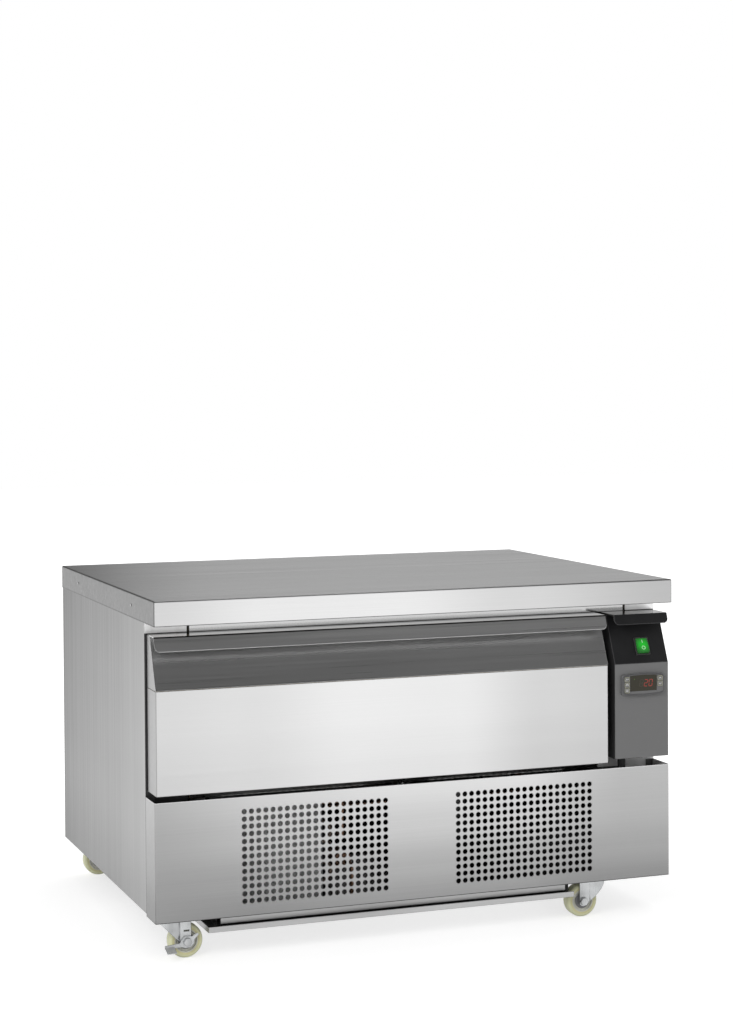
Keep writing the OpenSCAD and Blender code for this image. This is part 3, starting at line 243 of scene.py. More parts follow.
def brushed_group():
    """Grain of brushed sheet: 0.6 fine + 0.4 coarse noise, drawn out along one axis, and a slow
    haze."""
    g, given, result = new_group(
        "brushed_grain",
        [("Vector", VECTOR, None), ("Along", VECTOR, (1.0, 1.0, 1.0)), ("Haze Size", FLOAT, 3.0)],
        [("Grain", FLOAT), ("Haze", FLOAT)])
    stretched = g.vector("MULTIPLY", given["Vector"], given["Along"])[0]
    fine = g.math("MULTIPLY", g.noise(stretched, 620.0, 3.0, 0.6), 0.6)
    coarse = g.math("MULTIPLY", g.noise(stretched, 130.0, 2.0, 0.5), 0.4)
    g.feed(result["Grain"], g.math("ADD", fine, coarse))
    g.feed(result["Haze"], g.noise(given["Vector"], given["Haze Size"], 1.5, 0.45))
    return g.tree


def speckle_group():
    """Moulded or cast skin: small noise for the bump and larger noise for slight staining."""
    g, given, result = new_group(
        "moulded_skin", [("Vector", VECTOR, None), ("Grain Size", FLOAT, 900.0)],
        [("Skin", FLOAT), ("Stain", FLOAT)])
    g.feed(result["Skin"], g.noise(given["Vector"], given["Grain Size"], 3.0, 0.6))
    g.feed(result["Stain"], g.noise(given["Vector"], 14.0, 3.0, 0.55))
    return g.tree


def radius_group():
    """Distance from an axis: the length of (point - centre) with the axis's own part left out."""
    g, given, result = new_group(
        "radius_from_axis",
        [("Vector", VECTOR, None), ("Centre", VECTOR, (0.0, 0.0, 0.0)),
         ("Across", VECTOR, (1.0, 0.0, 1.0))],
        [("Radius", FLOAT)])
    moved = g.vector("SUBTRACT", given["Vector"], given["Centre"])[0]
    flat = g.vector("MULTIPLY", moved, given["Across"])[0]
    g.feed(result["Radius"], g.vector("LENGTH", flat)["Value"])
    return g.tree


def zone_group():
    """1 in a box and 0 beyond a fade: 1 - |max(|point - centre| - half size, 0)| / fade."""
    g, given, result = new_group(
        "zone_mask",
        [("Vector", VECTOR, None), ("Centre", VECTOR, (0.0, 0.0, 0.0)),
         ("Half Size", VECTOR, (1.0, 1.0, 1.0)), ("Fade", FLOAT, 0.0005)],
        [("Mask", FLOAT)])
    offset = g.vector("ABSOLUTE", g.vector("SUBTRACT", given["Vector"], given["Centre"])[0])[0]
    beyond = g.vector("SUBTRACT", offset, given["Half Size"])[0]
    away = g.vector("LENGTH", g.vector("MAXIMUM", beyond, (0.0, 0.0, 0.0))[0])["Value"]
    g.feed(result["Mask"],
           g.math("SUBTRACT", 1.0, g.math("DIVIDE", away, given["Fade"]), clamp=True))
    return g.tree


def softened(g, bevel):
    """A normal rounded at the edges over a small radius."""
    return g.add("ShaderNodeBevel", {"Radius": bevel}, samples=4).outputs[0]


def edge_light_shade_group():
    """Mask for painted highlights and painted shade on edges, 1 on an edge and 0 on a face: the
    dot product of the face's own normal with one rounded over the width, carried from 0.80..0.99
    to 1..0."""
    g, given, result = new_group("edge_light_and_shade", [("Width", FLOAT, 0.002)], [("Mask", FLOAT)])
    face = g.add("ShaderNodeNewGeometry").outputs["Normal"]
    alike = g.vector("DOT_PRODUCT", softened(g, given["Width"]), face)["Value"]
    g.feed(result["Mask"], g.remap(alike, 0.80, 0.99, 1.0, 0.0))
    return g.tree


BRUSHED, SPECKLE, RADIUS = brushed_group(), speckle_group(), radius_group()
ZONE, EDGE_LIGHT_SHADE = zone_group(), edge_light_shade_group()
ALONG_X, ALONG_Z = (0.006, 1.0, 1.0), (1.0, 1.0, 0.006)


def new_material(name):
    """A material with its graph, its Principled BSDF and its object coordinates."""
    material = bpy.data.materials.new(name)
    material.use_nodes = True
    g = Graph(material.node_tree)
    shader = material.node_tree.nodes["Principled BSDF"]
    coords = g.add("ShaderNodeTexCoord").outputs["Object"]
    return material, g, shader, coords


def join(g, shader, **sockets):
    """Links sockets to the shader's inputs by name."""
    for name, socket in sockets.items():
        g.tree.links.new(socket, shader.inputs[name.replace("_", " ")])


def bump(g, height, strength, distance, normal):
    """The normal, tilted by the slope of a height."""
    return g.add("ShaderNodeBump", {"Strength": strength, "Distance": distance,
                                    "Height": height, "Normal": normal}).outputs[0]


def zone(g, coords, low, high, fade):
    """The mask of a box given by its lowest and highest corner."""
    low, high = np.array(low), np.array(high)
    return g.group(ZONE, {"Vector": coords, "Centre": tuple((low + high) / 2),
                          "Half Size": tuple((high - low) / 2), "Fade": fade})["Mask"]


def grey(value):
    """A grey colour of one level."""
    return (value, value, value, 1.0)


def ramp(g, value, stops):
    """Tones at places along an axis, eased from one to the next: stops are (place, tone)."""
    low, high = stops[0][0], stops[-1][0]
    node = g.add("ShaderNodeValToRGB", {"Fac": g.remap(value, low, high, 0.0, 1.0)})
    node.color_ramp.interpolation = "EASE"
    elements = node.color_ramp.elements
    while len(elements) < len(stops):
        elements.new(0.5)
    for element, (place, tone) in zip(elements, stops):
        element.position = (place - low) / (high - low)
        element.color = grey(tone)
    return node.outputs["Color"]


def steel(name, tone, along, rough=0.34, contrast=0.10, haze=0.08, haze_size=3.0, tones=(),
          tint=(1.0, 1.0, 1.0), bevel=0.0008, edge=1.0, edge_width=0.0020, zones=(), polished=(),
          grit=0.10, metal=1.0, pale_patch=None):
    """Brushed sheet: tone x (1 + contrast x grain + haze), and roughness from the same grain.
    tones are (direction, stops) pairs that multiply the tone along the piece: painted light and
    shade, standing in for the slow changes of the sheet's reflections. zones are (low, high, fade,
    tone) boxes with another tone, or (direction, stops) in its place, mostly painted shade,
    highlights and reflections. edge multiplies the tone where the sheet is bent or cut, a painted
    highlight above 1 and painted shade below it, and polished is a list of (low, high, fade,
    roughness) boxes. grit is how deep the grain cuts, and the last argument is one (low, high,
    fade, metallic) box made nearly non-metallic where a zone makes the sheet pale."""
    material, g, shader, coords = new_material(name)
    grain = g.group(BRUSHED, {"Vector": coords, "Along": along, "Haze Size": haze_size})

    def toned(direction, stops):
        """The stops' tones, picked by how far the place lies along the direction."""
        return ramp(g, g.vector("DOT_PRODUCT", coords, direction)["Value"], stops)

    base = grey(tone)
    for direction, stops in tones:
        base = g.mix(1.0, base, toned(direction, stops), "MULTIPLY")
    for low, high, fade, other in zones:
        base = g.mix(zone(g, coords, low, high, fade), base,
                     toned(*other) if isinstance(other, tuple) else grey(other))
    # painted highlight or painted shade along the edges
    if edge != 1.0:
        base = g.mix(g.group(EDGE_LIGHT_SHADE, {"Width": edge_width})["Mask"], base,
                     g.mix(1.0, base, grey(edge), "MULTIPLY"))
    level = g.math("ADD", g.remap(grain["Grain"], 0.3, 0.7, 1 - contrast, 1 + contrast),
                   g.remap(grain["Haze"], 0.3, 0.7, -haze, haze))
    colour = g.mix(1.0, g.mix(1.0, base, g.grey_of(level), "MULTIPLY"), (*tint, 1.0), "MULTIPLY")
    shader.inputs["Metallic"].default_value = metal
    if pale_patch:
        join(g, shader, Metallic=g.remap(zone(g, coords, *pale_patch[:3]), 0.0, 1.0, metal, pale_patch[3]))
    gloss = g.remap(grain["Grain"], 0.3, 0.7, rough - 0.05, rough + 0.07)
    for low, high, fade, other in polished:
        gloss = g.blended(zone(g, coords, low, high, fade), gloss, other)
    join(g, shader, Base_Color=colour, Roughness=gloss,
         Normal=bump(g, grain["Grain"], grit, 0.0002, softened(g, bevel)))
    return material


def moulded(name, colour, rough=0.5, size=900.0, skin_depth=0.12, stain=0.18, bevel=0.0006,
            coat=0.0, specular=0.5, edge=None, edge_width=0.0020, zones=(), polished=()):
    """Plastic, rubber or paint: one colour, stained by slow noise, with a fine skin. zones are
    (low, high, fade, colour) boxes of another colour, polished are (low, high, fade, roughness)
    boxes, and edge is a colour painted along the edges, as a painted highlight or painted shade."""
    material, g, shader, coords = new_material(name)
    skin = g.group(SPECKLE, {"Vector": coords, "Grain Size": size})
    level = g.remap(skin["Stain"], 0.25, 0.75, 1 - stain, 1 + stain)
    shader.inputs["Coat Weight"].default_value = coat
    shader.inputs["Specular IOR Level"].default_value = specular
    base = g.mix(1.0, (*colour, 1.0), g.grey_of(level), "MULTIPLY")
    for low, high, fade, other in zones:
        base = g.mix(zone(g, coords, low, high, fade), base, (*other, 1.0))
    if edge:
        base = g.mix(g.group(EDGE_LIGHT_SHADE, {"Width": edge_width})["Mask"], base, (*edge, 1.0))
    dull = g.remap(skin["Stain"], 0.25, 0.75, rough - 0.05, rough + 0.08)
    for low, high, fade, smooth in polished:
        dull = g.blended(zone(g, coords, low, high, fade), dull, smooth)
    join(g, shader, Base_Color=base, Roughness=dull,
         Normal=bump(g, skin["Skin"], skin_depth, 0.0002, softened(g, bevel)))
    return material


def lamp_material(name, colour, strength, rough=0.3):
    """A mark with its own colour and light, with a slight unevenness."""
    material, g, shader, coords = new_material(name)
    skin = g.group(SPECKLE, {"Vector": coords, "Grain Size": 700.0})
    level = g.remap(skin["Stain"], 0.25, 0.75, 0.85, 1.1)
    lit = g.mix(1.0, (*colour, 1.0), g.grey_of(level), "MULTIPLY")
    shader.inputs["Roughness"].default_value = rough
    shader.inputs["Emission Strength"].default_value = strength
    join(g, shader, Base_Color=lit, Emission_Color=lit)
    return material


def dress(material, *names):
    """Gives CAD nodes their material."""
    for name in names:
        mesh = NODES[name].data
        mesh.materials.clear()
        mesh.materials.append(material)


# Steel sheets: their tone ramps, zones and edge tones are mostly painted light and shade. Places
# are in metres, and a zone stands in the piece's own box where it can. FAR lies beyond every
# piece, CUT is how far the painted shade or light at a cut edge reaches into its sheet, FADE is
# how softly it ends, and the last constant is how metallic a pale patch of a sheet is.

X, Y, Z = (1.0, 0.0, 0.0), (0.0, 1.0, 0.0), (0.0, 0.0, 1.0)
FAR = 9.0
CUT, FADE = 0.0008, 0.0006
PALE_METALLIC = 0.1


def slab(axis, start, end, within=((-FAR, -FAR, -FAR), (FAR, FAR, FAR))):
    """A box that is bounded along one axis, from start to end, and otherwise by within."""
    low, high = list(within[0]), list(within[1])
    low[axis], high[axis] = start, end
    return tuple(low), tuple(high)


# Worktop: painted reflections darken the top towards the back left and change the rim's tone along
# x; painted shade darkens its edges, both ends and its foot
LEFT_END, RIGHT_END = BOX["worktop"][0][0], BOX["worktop"][1][0]
RIM_FOOT = BOX["worktop"][0][2]
RIM = slab(2, -FAR, TOP - 0.0020)
LEFT_RIM_FOOT = ((-FAR, -FAR, -FAR), (LEFT_END + 0.001, FAR, RIM_FOOT + 0.0016))
dress(steel("worktop_steel", 0.375, ALONG_X, rough=0.30, contrast=0.05, haze=0.02, haze_size=1.2,
            edge=0.42, edge_width=0.0017,
            # painted reflection: the top darker towards its back left
            tones=[((1.0, -0.23, 0.0),
                    ((-0.53, 0.55), (-0.37, 0.86), (-0.25, 0.97), (0.0, 1.0), (0.53, 0.96)))],
            # painted reflection on the rim, and painted shade on the ends, the foot and the rim's
            # left foot
            zones=[(*RIM, 0.0008, (X, ((-0.45, 0.565), (-0.27, 0.69), (-0.05, 0.705),
                                       (0.17, 0.575), (0.45, 0.435)))),
                   (*slab(0, -FAR, LEFT_END + CUT), FADE, (Y, ((-0.35, 0.11), (0.35, 0.075)))),
                   (*slab(0, RIGHT_END - CUT, FAR), FADE, 0.27),
                   (*slab(2, -FAR, RIM_FOOT + 0.0006), FADE, 0.08),
                   (*LEFT_RIM_FOOT, FADE, 0.005)]),
      "worktop")

# Sides: painted reflection, lighter towards the front and the foot; painted shade on their edges,
# their front edges and next to the front sheets; painted light beside the top rail and at the
# control column's foot, where the sheet is also pale and nearly non-metallic
SIDE_FRONT = BOX["side_panel_left"][0][1]
FRAME_LOW, FRAME_HIGH = BOX["front_frame"]
SIDE_EDGE = slab(1, -FAR, SIDE_FRONT + CUT)
SIDE_EDGE_HIGH = slab(1, -FAR, SIDE_FRONT + 0.0004, ((-FAR, -FAR, 0.5148), (FAR, FAR, FAR)))
SIDE_EDGE_FOOT = slab(1, -FAR, SIDE_FRONT + CUT, ((0, -FAR, 0.24), (FAR, FAR, 0.268)))
SIDE_INNER = slab(0, FRAME_LOW[0] - 0.0024, FRAME_HIGH[0] + 0.0024,
                  ((0, -FAR, -FAR), (0, SIDE_FRONT + 0.002, FAR)))
dress(steel("side_steel", 0.285, ALONG_Z, rough=0.36, contrast=0.006, haze=0.03, grit=0.02,
            haze_size=1.5, bevel=0.0010, edge=0.5,
            # painted reflection: lighter towards the front and the foot
            tones=[(Y, ((-0.28, 1.10), (-0.2, 0.985), (0.0, 0.78), (0.2, 0.615), (0.35, 0.455))),
                   (Z, ((0.06, 1.10), (0.18, 1.12), (0.30, 0.97), (0.42, 0.90), (0.53, 0.83)))],
            # painted shade on the front edges and inside, painted highlight beside the top rail,
            # painted light at the control column's foot
            zones=[(*SIDE_EDGE, FADE, 0.10), (*SIDE_EDGE_HIGH, FADE, 0.80),
                   (*SIDE_EDGE_FOOT, FADE, 0.95), (*SIDE_INNER, FADE, 0.02)],
            pale_patch=(*SIDE_EDGE_FOOT, FADE, PALE_METALLIC)),
      "side_panel_left", "side_panel_right")

# Back: a pale, nearly non-metallic inner face, and painted shade on its edges
BACK_INSIDE = ((-0.447, -FAR, -FAR), (0.447, BOX["back_panel"][1][1] - 0.0006, FAR))
dress(steel("back_steel", 0.34, ALONG_Z, rough=0.40, haze=0.05, haze_size=1.5, edge=0.6,
            zones=[(*BACK_INSIDE, 0.0004, 0.9)], pale_patch=(*BACK_INSIDE, 0.0004, PALE_METALLIC)),
      "back_panel")

# Front frame round the drawer: painted shade at its ends and nearly black from 0.30 m up to just
# under the top rail, where the drawer shades it, close to its own tone below; painted light at the
# control column's foot, pale and nearly non-metallic
HOUSING_LOW, HOUSING_HIGH = BOX["control_housing"]
FOOT = ((HOUSING_LOW[0] - 0.004, -FAR, -FAR), (FAR, FAR, HOUSING_LOW[2] + 0.004))
dress(steel("frame_steel", 0.47, ALONG_X, rough=0.10, contrast=0.03, haze=0.03, grit=0.03,
            # painted shade at both ends and behind the drawer; painted light at the control
            # column's foot
            zones=[(*slab(0, -FAR, FRAME_LOW[0] + 0.0012), 0.0008, 0.02),
                   (*slab(0, FRAME_HIGH[0] - 0.0012, FAR), 0.0008, 0.02),
                   (*slab(2, 0.30, 0.5138), FADE, 0.05),
                   (*slab(2, -FAR, 0.30), 0.0008, 0.46),
                   (*FOOT, 0.002, 0.95)],
            pale_patch=(*FOOT, 0.002, PALE_METALLIC)),
      "front_frame")

# Fascia: painted reflection and shade, darker towards its foot, both ends and its returns; painted
# shade on its edges, cut left edge, foot and inner face; a painted highlight on its top edge and a
# painted pale line of light near its right end
FASCIA_LOW, FASCIA_HIGH = BOX["fascia"]
RIGHT_LINE = slab(0, FASCIA_HIGH[0] - 0.0016, FASCIA_HIGH[0] - CUT)
dress(steel("fascia_steel", 0.58, ALONG_X, rough=0.32, contrast=0.05, haze=0.03, haze_size=2.0,
            edge=0.42,
            # painted shade and reflection: darker towards the foot and both ends
            tones=[(Z, ((0.065, 0.52), (0.12, 0.65), (0.19, 0.86), (0.254, 1.02))),
                   (X, ((-0.45, 0.80), (-0.33, 0.84), (-0.05, 1.0), (0.15, 0.98), (0.34, 0.85),
                        (0.45, 0.82)))],
            # painted shade on the ends, cut left edge, foot and inner face; painted highlights on
            # the top edge and a pale line near the right end
            zones=[(*slab(0, -FAR, -0.44), 0.16,
                    (Z, ((0.065, 0.285), (0.12, 0.30), (0.19, 0.335), (0.254, 0.365)))),
                   (*slab(0, 0.36, FAR), 0.16,
                    (Z, ((0.065, 0.25), (0.12, 0.317), (0.19, 0.368), (0.254, 0.385)))),
                   (*slab(0, -FAR, FASCIA_LOW[0] + CUT), 0.0005,
                    (Z, ((0.065, 0.22), (0.15, 0.31), (0.255, 0.34)))),
                   (*slab(2, FASCIA_HIGH[2] - 0.0006, FAR), 0.0008, 0.75),
                   (*slab(2, -FAR, FASCIA_LOW[2] + 0.0006), 0.0008, 0.06),
                   (*slab(1, FASCIA_HIGH[1] - 0.0008, FAR), 0.0008, 0.10),
                   (*RIGHT_LINE, 0.0003, 0.95)],
            pale_patch=(*RIGHT_LINE, 0.0003, PALE_METALLIC)),
      "fascia")

# Drawer front, and its handle: painted light and shade in bands across the whole width, counted
# down from the flange
# painted shade on the drawer's left end, which the handle shares
DRAWER_END = slab(0, -FAR, BOX["drawer_skin"][0][0] + CUT)
dress(steel("drawer_steel", 0.70, ALONG_X, contrast=0.03, haze=0.025, haze_size=2.5, edge=0.50,
            # painted reflection along x, and painted shade towards the foot and on the edges
            tones=[(X, ((-0.45, 0.81), (-0.30, 0.87), (-0.12, 1.02), (0.06, 0.98), (0.22, 0.79),
                        (0.34, 0.745))),
                   (Z, ((0.26, 0.90), (0.40, 1.0), (0.43, 1.0)))],
            zones=[(*DRAWER_END, FADE, 0.31)]),
      "drawer_skin")
FLANGE = BOX["drawer_handle"][1][2]


def handle_band(front, back, down, up=FLANGE - FAR):
    """A box across the handle, from front to back, and from so far below the flange's top to
    another place below it, or to beyond the top."""
    return (-FAR, front, FLANGE - down), (FAR, back, FLANGE - up)


# Painted light and shade on the handle: paler under the lip, the lip's face darker along x, a
# highlight along the lip's foot, shade in the fold, a highlight on the flange's top and shade
# behind it
UNDER_LIP = handle_band(-0.335, -0.300, 0.034, 0.0236)
LIP = handle_band(-0.3425, -0.3255, 0.0238)
LIP_FOOT = handle_band(-0.3412, -0.3375, 0.0236, 0.0222)
FOLD = handle_band(-0.3316, -0.3285, 0.0026, 0.0004)
FLANGE_TOP = handle_band(-0.3305, -0.300, 0.0004)
FLANGE_REAR = handle_band(-0.302, -0.28, 0.0004)
# painted reflection along x and painted highlights on the edges
dress(steel("handle_steel", 0.58, ALONG_X, rough=0.30, contrast=0.015, haze=0.02, edge=1.4,
            edge_width=0.0014, grit=0.02,
            tones=[(X, ((-0.45, 0.84), (-0.20, 0.94), (0.10, 1.03), (0.24, 1.05), (0.33, 0.98)))],
            zones=[(*UNDER_LIP, 0.012, 0.72),
                   (*LIP, 0.0008, (X, ((-0.45, 0.51), (0.0, 0.68), (0.33, 0.64)))),
                   (*DRAWER_END, FADE, 0.25), (*FOLD, 0.0005, 0.02), (*FLANGE_TOP, FADE, 1.0),
                   (*FLANGE_REAR, 0.0010, 0.03), (*LIP_FOOT, 0.0005, 0.99)],
            polished=[(*handle_band(-0.330, -0.28, 0.0004), FADE, 0.06)]),
      "drawer_handle")

# Inside, and the cooling machine's base: painted shade on the inner sheets' edges; on the base a
# pale upper front strip, painted shade as a dark lower front strip, and a near-black, matte rear
dress(steel("inner_steel", 0.46, ALONG_X, rough=0.28, edge=0.7), "cavity_liner", "duct_panel",
      "drawer_inner_panel", "pan_frame", "bay_ceiling")
dress(steel("tray_steel", 0.46, ALONG_X, rough=0.38, haze=0.12, edge=0.7), "machine_tray")
UNIT_FRONT = slab(1, BOX["unit_base"][0][1] - 0.0005, BOX["unit_base"][0][1] + 0.0003)
BAY_REAR = slab(1, 0.12, FAR)
dress(steel("bay_steel", 0.30, ALONG_X, rough=0.42, haze=0.12,
            # painted shade: the dark lower front strip, in the gap above the tray's lip
            zones=[(*slab(2, 0.0512, 0.07, UNIT_FRONT), 0.0008, 0.46),
                   (*slab(2, 0.03, 0.0498, UNIT_FRONT), 0.0008, 0.02),
                   (*BAY_REAR, 0.02, 0.03)],
            polished=[(*BAY_REAR, 0.02, 0.9)]),
      "unit_base", "base_chassis")

# Zinc, bolts, coils and copper
ZINC_TINT = (0.97, 0.99, 1.0)
# painted shade: darker edges on the zinc parts, bolts and pedals
dress(steel("zinc_plate", 0.46, ALONG_Z, rough=0.28, contrast=0.08, haze=0.30, haze_size=34.0,
            tint=ZINC_TINT, edge=0.5, edge_width=0.0014),
      "castor_plates", "castor_fork_fl", "castor_fork_fr", "castor_fork_rl", "castor_fork_rr",
      "slide_outer", "slide_middle", "slide_inner")
dress(steel("bolt_steel", 0.50, ALONG_Z, rough=0.24, contrast=0.05, haze=0.2, haze_size=60.0,
            bevel=0.0005, edge=0.18, edge_width=0.0012), "fasteners")
# painted light: a paler, less metallic copy of the zinc plate, so that the pedals look lighter
dress(steel("pedal_plate", 0.66, ALONG_Z, rough=0.42, contrast=0.06, haze=0.20, haze_size=22.0,
            tint=ZINC_TINT, edge=0.5, edge_width=0.0014, metal=0.4),
      "brake_pedal_fl", "brake_pedal_fr")
dress(steel("coil_aluminium", 0.50, ALONG_Z, rough=0.42), "condenser_coil", "evaporator_coil")
dress(steel("copper", 0.45, ALONG_Z, rough=0.45, contrast=0.06, haze=0.3, haze_size=30.0,
            tint=(0.90, 0.55, 0.38)), "copper_pipes", "filter_drier")

# Plastics, paints, rubber, foam and board
# painted highlights: a paler colour on the housing's edges and down its left side
dress(moulded("housing_black", (0.015, 0.015, 0.016), rough=0.46, size=1400.0, skin_depth=0.10,
              specular=0.3, edge=(0.13, 0.13, 0.133),
              zones=[(*slab(0, -FAR, HOUSING_LOW[0] + CUT), FADE, (0.036, 0.036, 0.037))],
              polished=[(*slab(2, HOUSING_HIGH[2] - 0.0004, FAR), 0.0005, 0.10)]),
      "control_housing")
# painted highlight: a paler colour on the switch body's edges
dress(moulded("switch_black", (0.022, 0.022, 0.022), rough=0.34, size=1800.0,
              edge=(0.15, 0.15, 0.14), edge_width=0.0016), "switch_body")
# painted shade: a darker colour on the faceplate's edges
dress(moulded("faceplate_grey", (0.198, 0.198, 0.199), rough=0.55, size=1600.0, skin_depth=0.06,
              stain=0.04, edge=(0.15, 0.15, 0.15)), "control_faceplate")
dress(moulded("bezel_grey", (0.170, 0.170, 0.172), rough=0.45, size=1500.0, skin_depth=0.08,
              stain=0.06), "controller_case")
WINDOW_SMOKE = moulded("display_smoke", (0.050, 0.046, 0.032), rough=0.30, skin_depth=0.0,
                       stain=0.1, specular=0.2)
dress(WINDOW_SMOKE, "display_window")
dress(moulded("key_grey", (0.175, 0.175, 0.177), rough=0.45, size=1500.0, skin_depth=0.08,
              stain=0.05, bevel=0.0008), "key_left_1", "key_left_2", "key_left_3", "key_right_1",
      "key_right_2")
dress(moulded("boot_rubber", (0.03, 0.03, 0.031), rough=0.6, skin_depth=0.2), "loom_boot",
      "cable_gland", "compressor_grommets")
dress(moulded("gasket_rubber", (0.035, 0.035, 0.037), rough=0.62, size=500.0, skin_depth=0.1),
      "drawer_gasket")
dress(moulded("compressor_paint", (0.012, 0.012, 0.013), rough=0.28, size=260.0, skin_depth=0.15,
              coat=0.3), "compressor", "condenser_fan_motor", "evaporator_fan_motor")
dress(moulded("shroud_paint", (0.11, 0.11, 0.115), rough=0.45, size=300.0), "fan_shroud",
      "drain_pan")
dress(moulded("fan_plastic", (0.03, 0.03, 0.032)), "condenser_fan_blade", "evaporator_fan_blade")
dress(moulded("foam_core", (0.62, 0.52, 0.30), rough=0.9, size=350.0, skin_depth=0.6, stain=0.12),
      "foam_insulation", "drawer_foam")
dress(moulded("chipboard", (0.42, 0.30, 0.17), rough=0.85, size=420.0, skin_depth=0.5, stain=0.4),
      "worktop_core")


GREEN_DIM, GREEN_LIT = (0.016, 0.125, 0.020, 1), (0.012, 0.42, 0.022, 1)
GLOW_NEAR, GLOW_FAR = 0.003, 0.016   # metres from the rocker's middle


def rocker_material():
    """Green lit plastic: brighter where the lamp sits behind the middle of the rocker."""
    material, g, shader, coords = new_material("rocker_green")
    low, high = BOX["switch_rocker"]
    away = g.group(RADIUS, {"Vector": coords, "Centre": tuple((low + high) / 2),
                            "Across": (1.0, 1.0, 1.0)})["Radius"]
    skin = g.group(SPECKLE, {"Vector": coords, "Grain Size": 500.0})
    glow = g.math("MULTIPLY", g.remap(away, GLOW_NEAR, GLOW_FAR, 1.0, 0.0, smooth=True),
                  g.remap(skin["Skin"], 0.3, 0.7, 0.8, 1.15))
    colour = g.mix(glow, GREEN_DIM, GREEN_LIT)
    shader.inputs["Roughness"].default_value = 0.22
    shader.inputs["Coat Weight"].default_value = 0.5
    shader.inputs["Emission Strength"].default_value = 0.55
    join(g, shader, Base_Color=colour, Emission_Color=colour,
         Normal=bump(g, skin["Skin"], 0.05, 0.0002, softened(g, 0.0008)))
    return material


dress(rocker_material(), "switch_rocker")

# Wheels: each colour begins at its own distance from the axle, in metres
BUSH_STEEL = (0.22, 0.22, 0.225, 1)
HUB_GREY, HUB_START = (0.76, 0.76, 0.68, 1), (0.0128, 0.0134)
RING_CREAM, RING_START = (0.82, 0.78, 0.44, 1), (0.0180, 0.0200)
TYRE_PALE, TYRE_START = (0.96, 0.97, 0.64, 1), (0.0205, 0.0245)


def wheel_material(name, centre):
    """Nylon wheel, from its axle outwards: steel bush, grey hub, cream ring and pale tyre."""
    material, g, shader, coords = new_material(name)
    radius = g.group(RADIUS, {"Vector": coords, "Centre": centre})["Radius"]
    skin = g.group(SPECKLE, {"Vector": coords, "Grain Size": 420.0})
    hub = g.mix(g.remap(radius, *RING_START, 0, 1, smooth=True), HUB_GREY, RING_CREAM)
    tyre = g.mix(g.remap(radius, *TYRE_START, 0, 1, smooth=True), hub, TYRE_PALE)
    colour = g.mix(g.remap(radius, *HUB_START, 1, 0), tyre, BUSH_STEEL)
    level = g.remap(skin["Stain"], 0.25, 0.75, 0.86, 1.06)
    join(g, shader, Base_Color=g.mix(1.0, colour, g.grey_of(level), "MULTIPLY"),
         Roughness=g.remap(skin["Stain"], 0.25, 0.75, 0.36, 0.5),
         Normal=bump(g, skin["Skin"], 0.10, 0.0003, softened(g, 0.0008)))
    return material


for corner in ("fl", "fr", "rl", "rr"):
    low, high = BOX["castor_wheel_" + corner]
    dress(wheel_material("wheel_nylon_" + corner, tuple((low + high) / 2)),
          "castor_wheel_" + corner)


# Controller: marks on its front, all laid out from its bezel's middle in millimetres

CASE_LOW, CASE_HIGH = np.array(BOX["controller_case"]) / MM
BEZEL_X, BEZEL_Y, BEZEL_Z = ((CASE_LOW[0] + CASE_HIGH[0]) / 2, CASE_LOW[1],
                             (CASE_LOW[2] + CASE_HIGH[2]) / 2)
BEZEL_W, BEZEL_H, BOW = CASE_HIGH[0] - CASE_LOW[0], CASE_HIGH[2] - CASE_LOW[2], 300.0
WINDOW_LOW, WINDOW_HIGH = np.array(BOX["display_window"]) / MM
WINDOW_W, WINDOW_H = WINDOW_HIGH[0] - WINDOW_LOW[0], WINDOW_HIGH[2] - WINDOW_LOW[2]
WINDOW_UP = (WINDOW_LOW[2] + WINDOW_HIGH[2]) / 2 - BEZEL_Z
MARK_LIFT, MARK_THICK = 0.16, 0.06

MARK_WHITE = lamp_material("mark_white", (0.80, 0.80, 0.78), 0.0, 0.5)
SIGN_GREEN = lamp_material("sign_green", (0.42, 0.72, 0.42), 0.30, 0.4)
MARK_FAINT = moulded("mark_faint", (0.050, 0.040, 0.022), rough=0.3, skin_depth=0.0)
LINE_PALE = moulded("line_pale", (0.62, 0.62, 0.44), rough=0.5, skin_depth=0.0)
DIGIT_RED = lamp_material("digit_red", (0.42, 0.030, 0.020), 0.30)
DOT_GREEN = lamp_material("dot_green", (0.08, 0.17, 0.02), 0.25)


def on_controller(points, lift):
    """Flat points (right, up) in millimetres, set on the controller's front plus a lift."""
    points = np.asarray(points, float)
    return np.column_stack([points[:, 0] + BEZEL_X, np.full(len(points), BEZEL_Y - lift),
                            points[:, 1] + BEZEL_Z]) * MM


PLATE_FACES = np.array([[0, 1, 2, 3], [7, 6, 5, 4]] + [[(i + 1) % 4, i, i + 4, (i + 1) % 4 + 4]
                                                       for i in range(4)])


def marks(name, quads, body, material, slot, place=on_controller, lift=MARK_LIFT,
          thick=MARK_THICK):
    """Thin plates over flat quads (n, 4, 2): place sets each front at the lift and each back one
    thickness lower, and four sides close them."""
    quads = np.asarray(quads, float)
    n = len(quads)
    front, back = (place(quads.reshape(-1, 2), height).reshape(n, 4, 3)
                   for height in (lift, lift - thick))
    faces = PLATE_FACES[None] + 8 * np.arange(n)[:, None, None]
    mesh_piece(name, np.stack([front, back], 1).reshape(-1, 3), faces.reshape(-1, 4), body,
               material, slot, smooth=False)


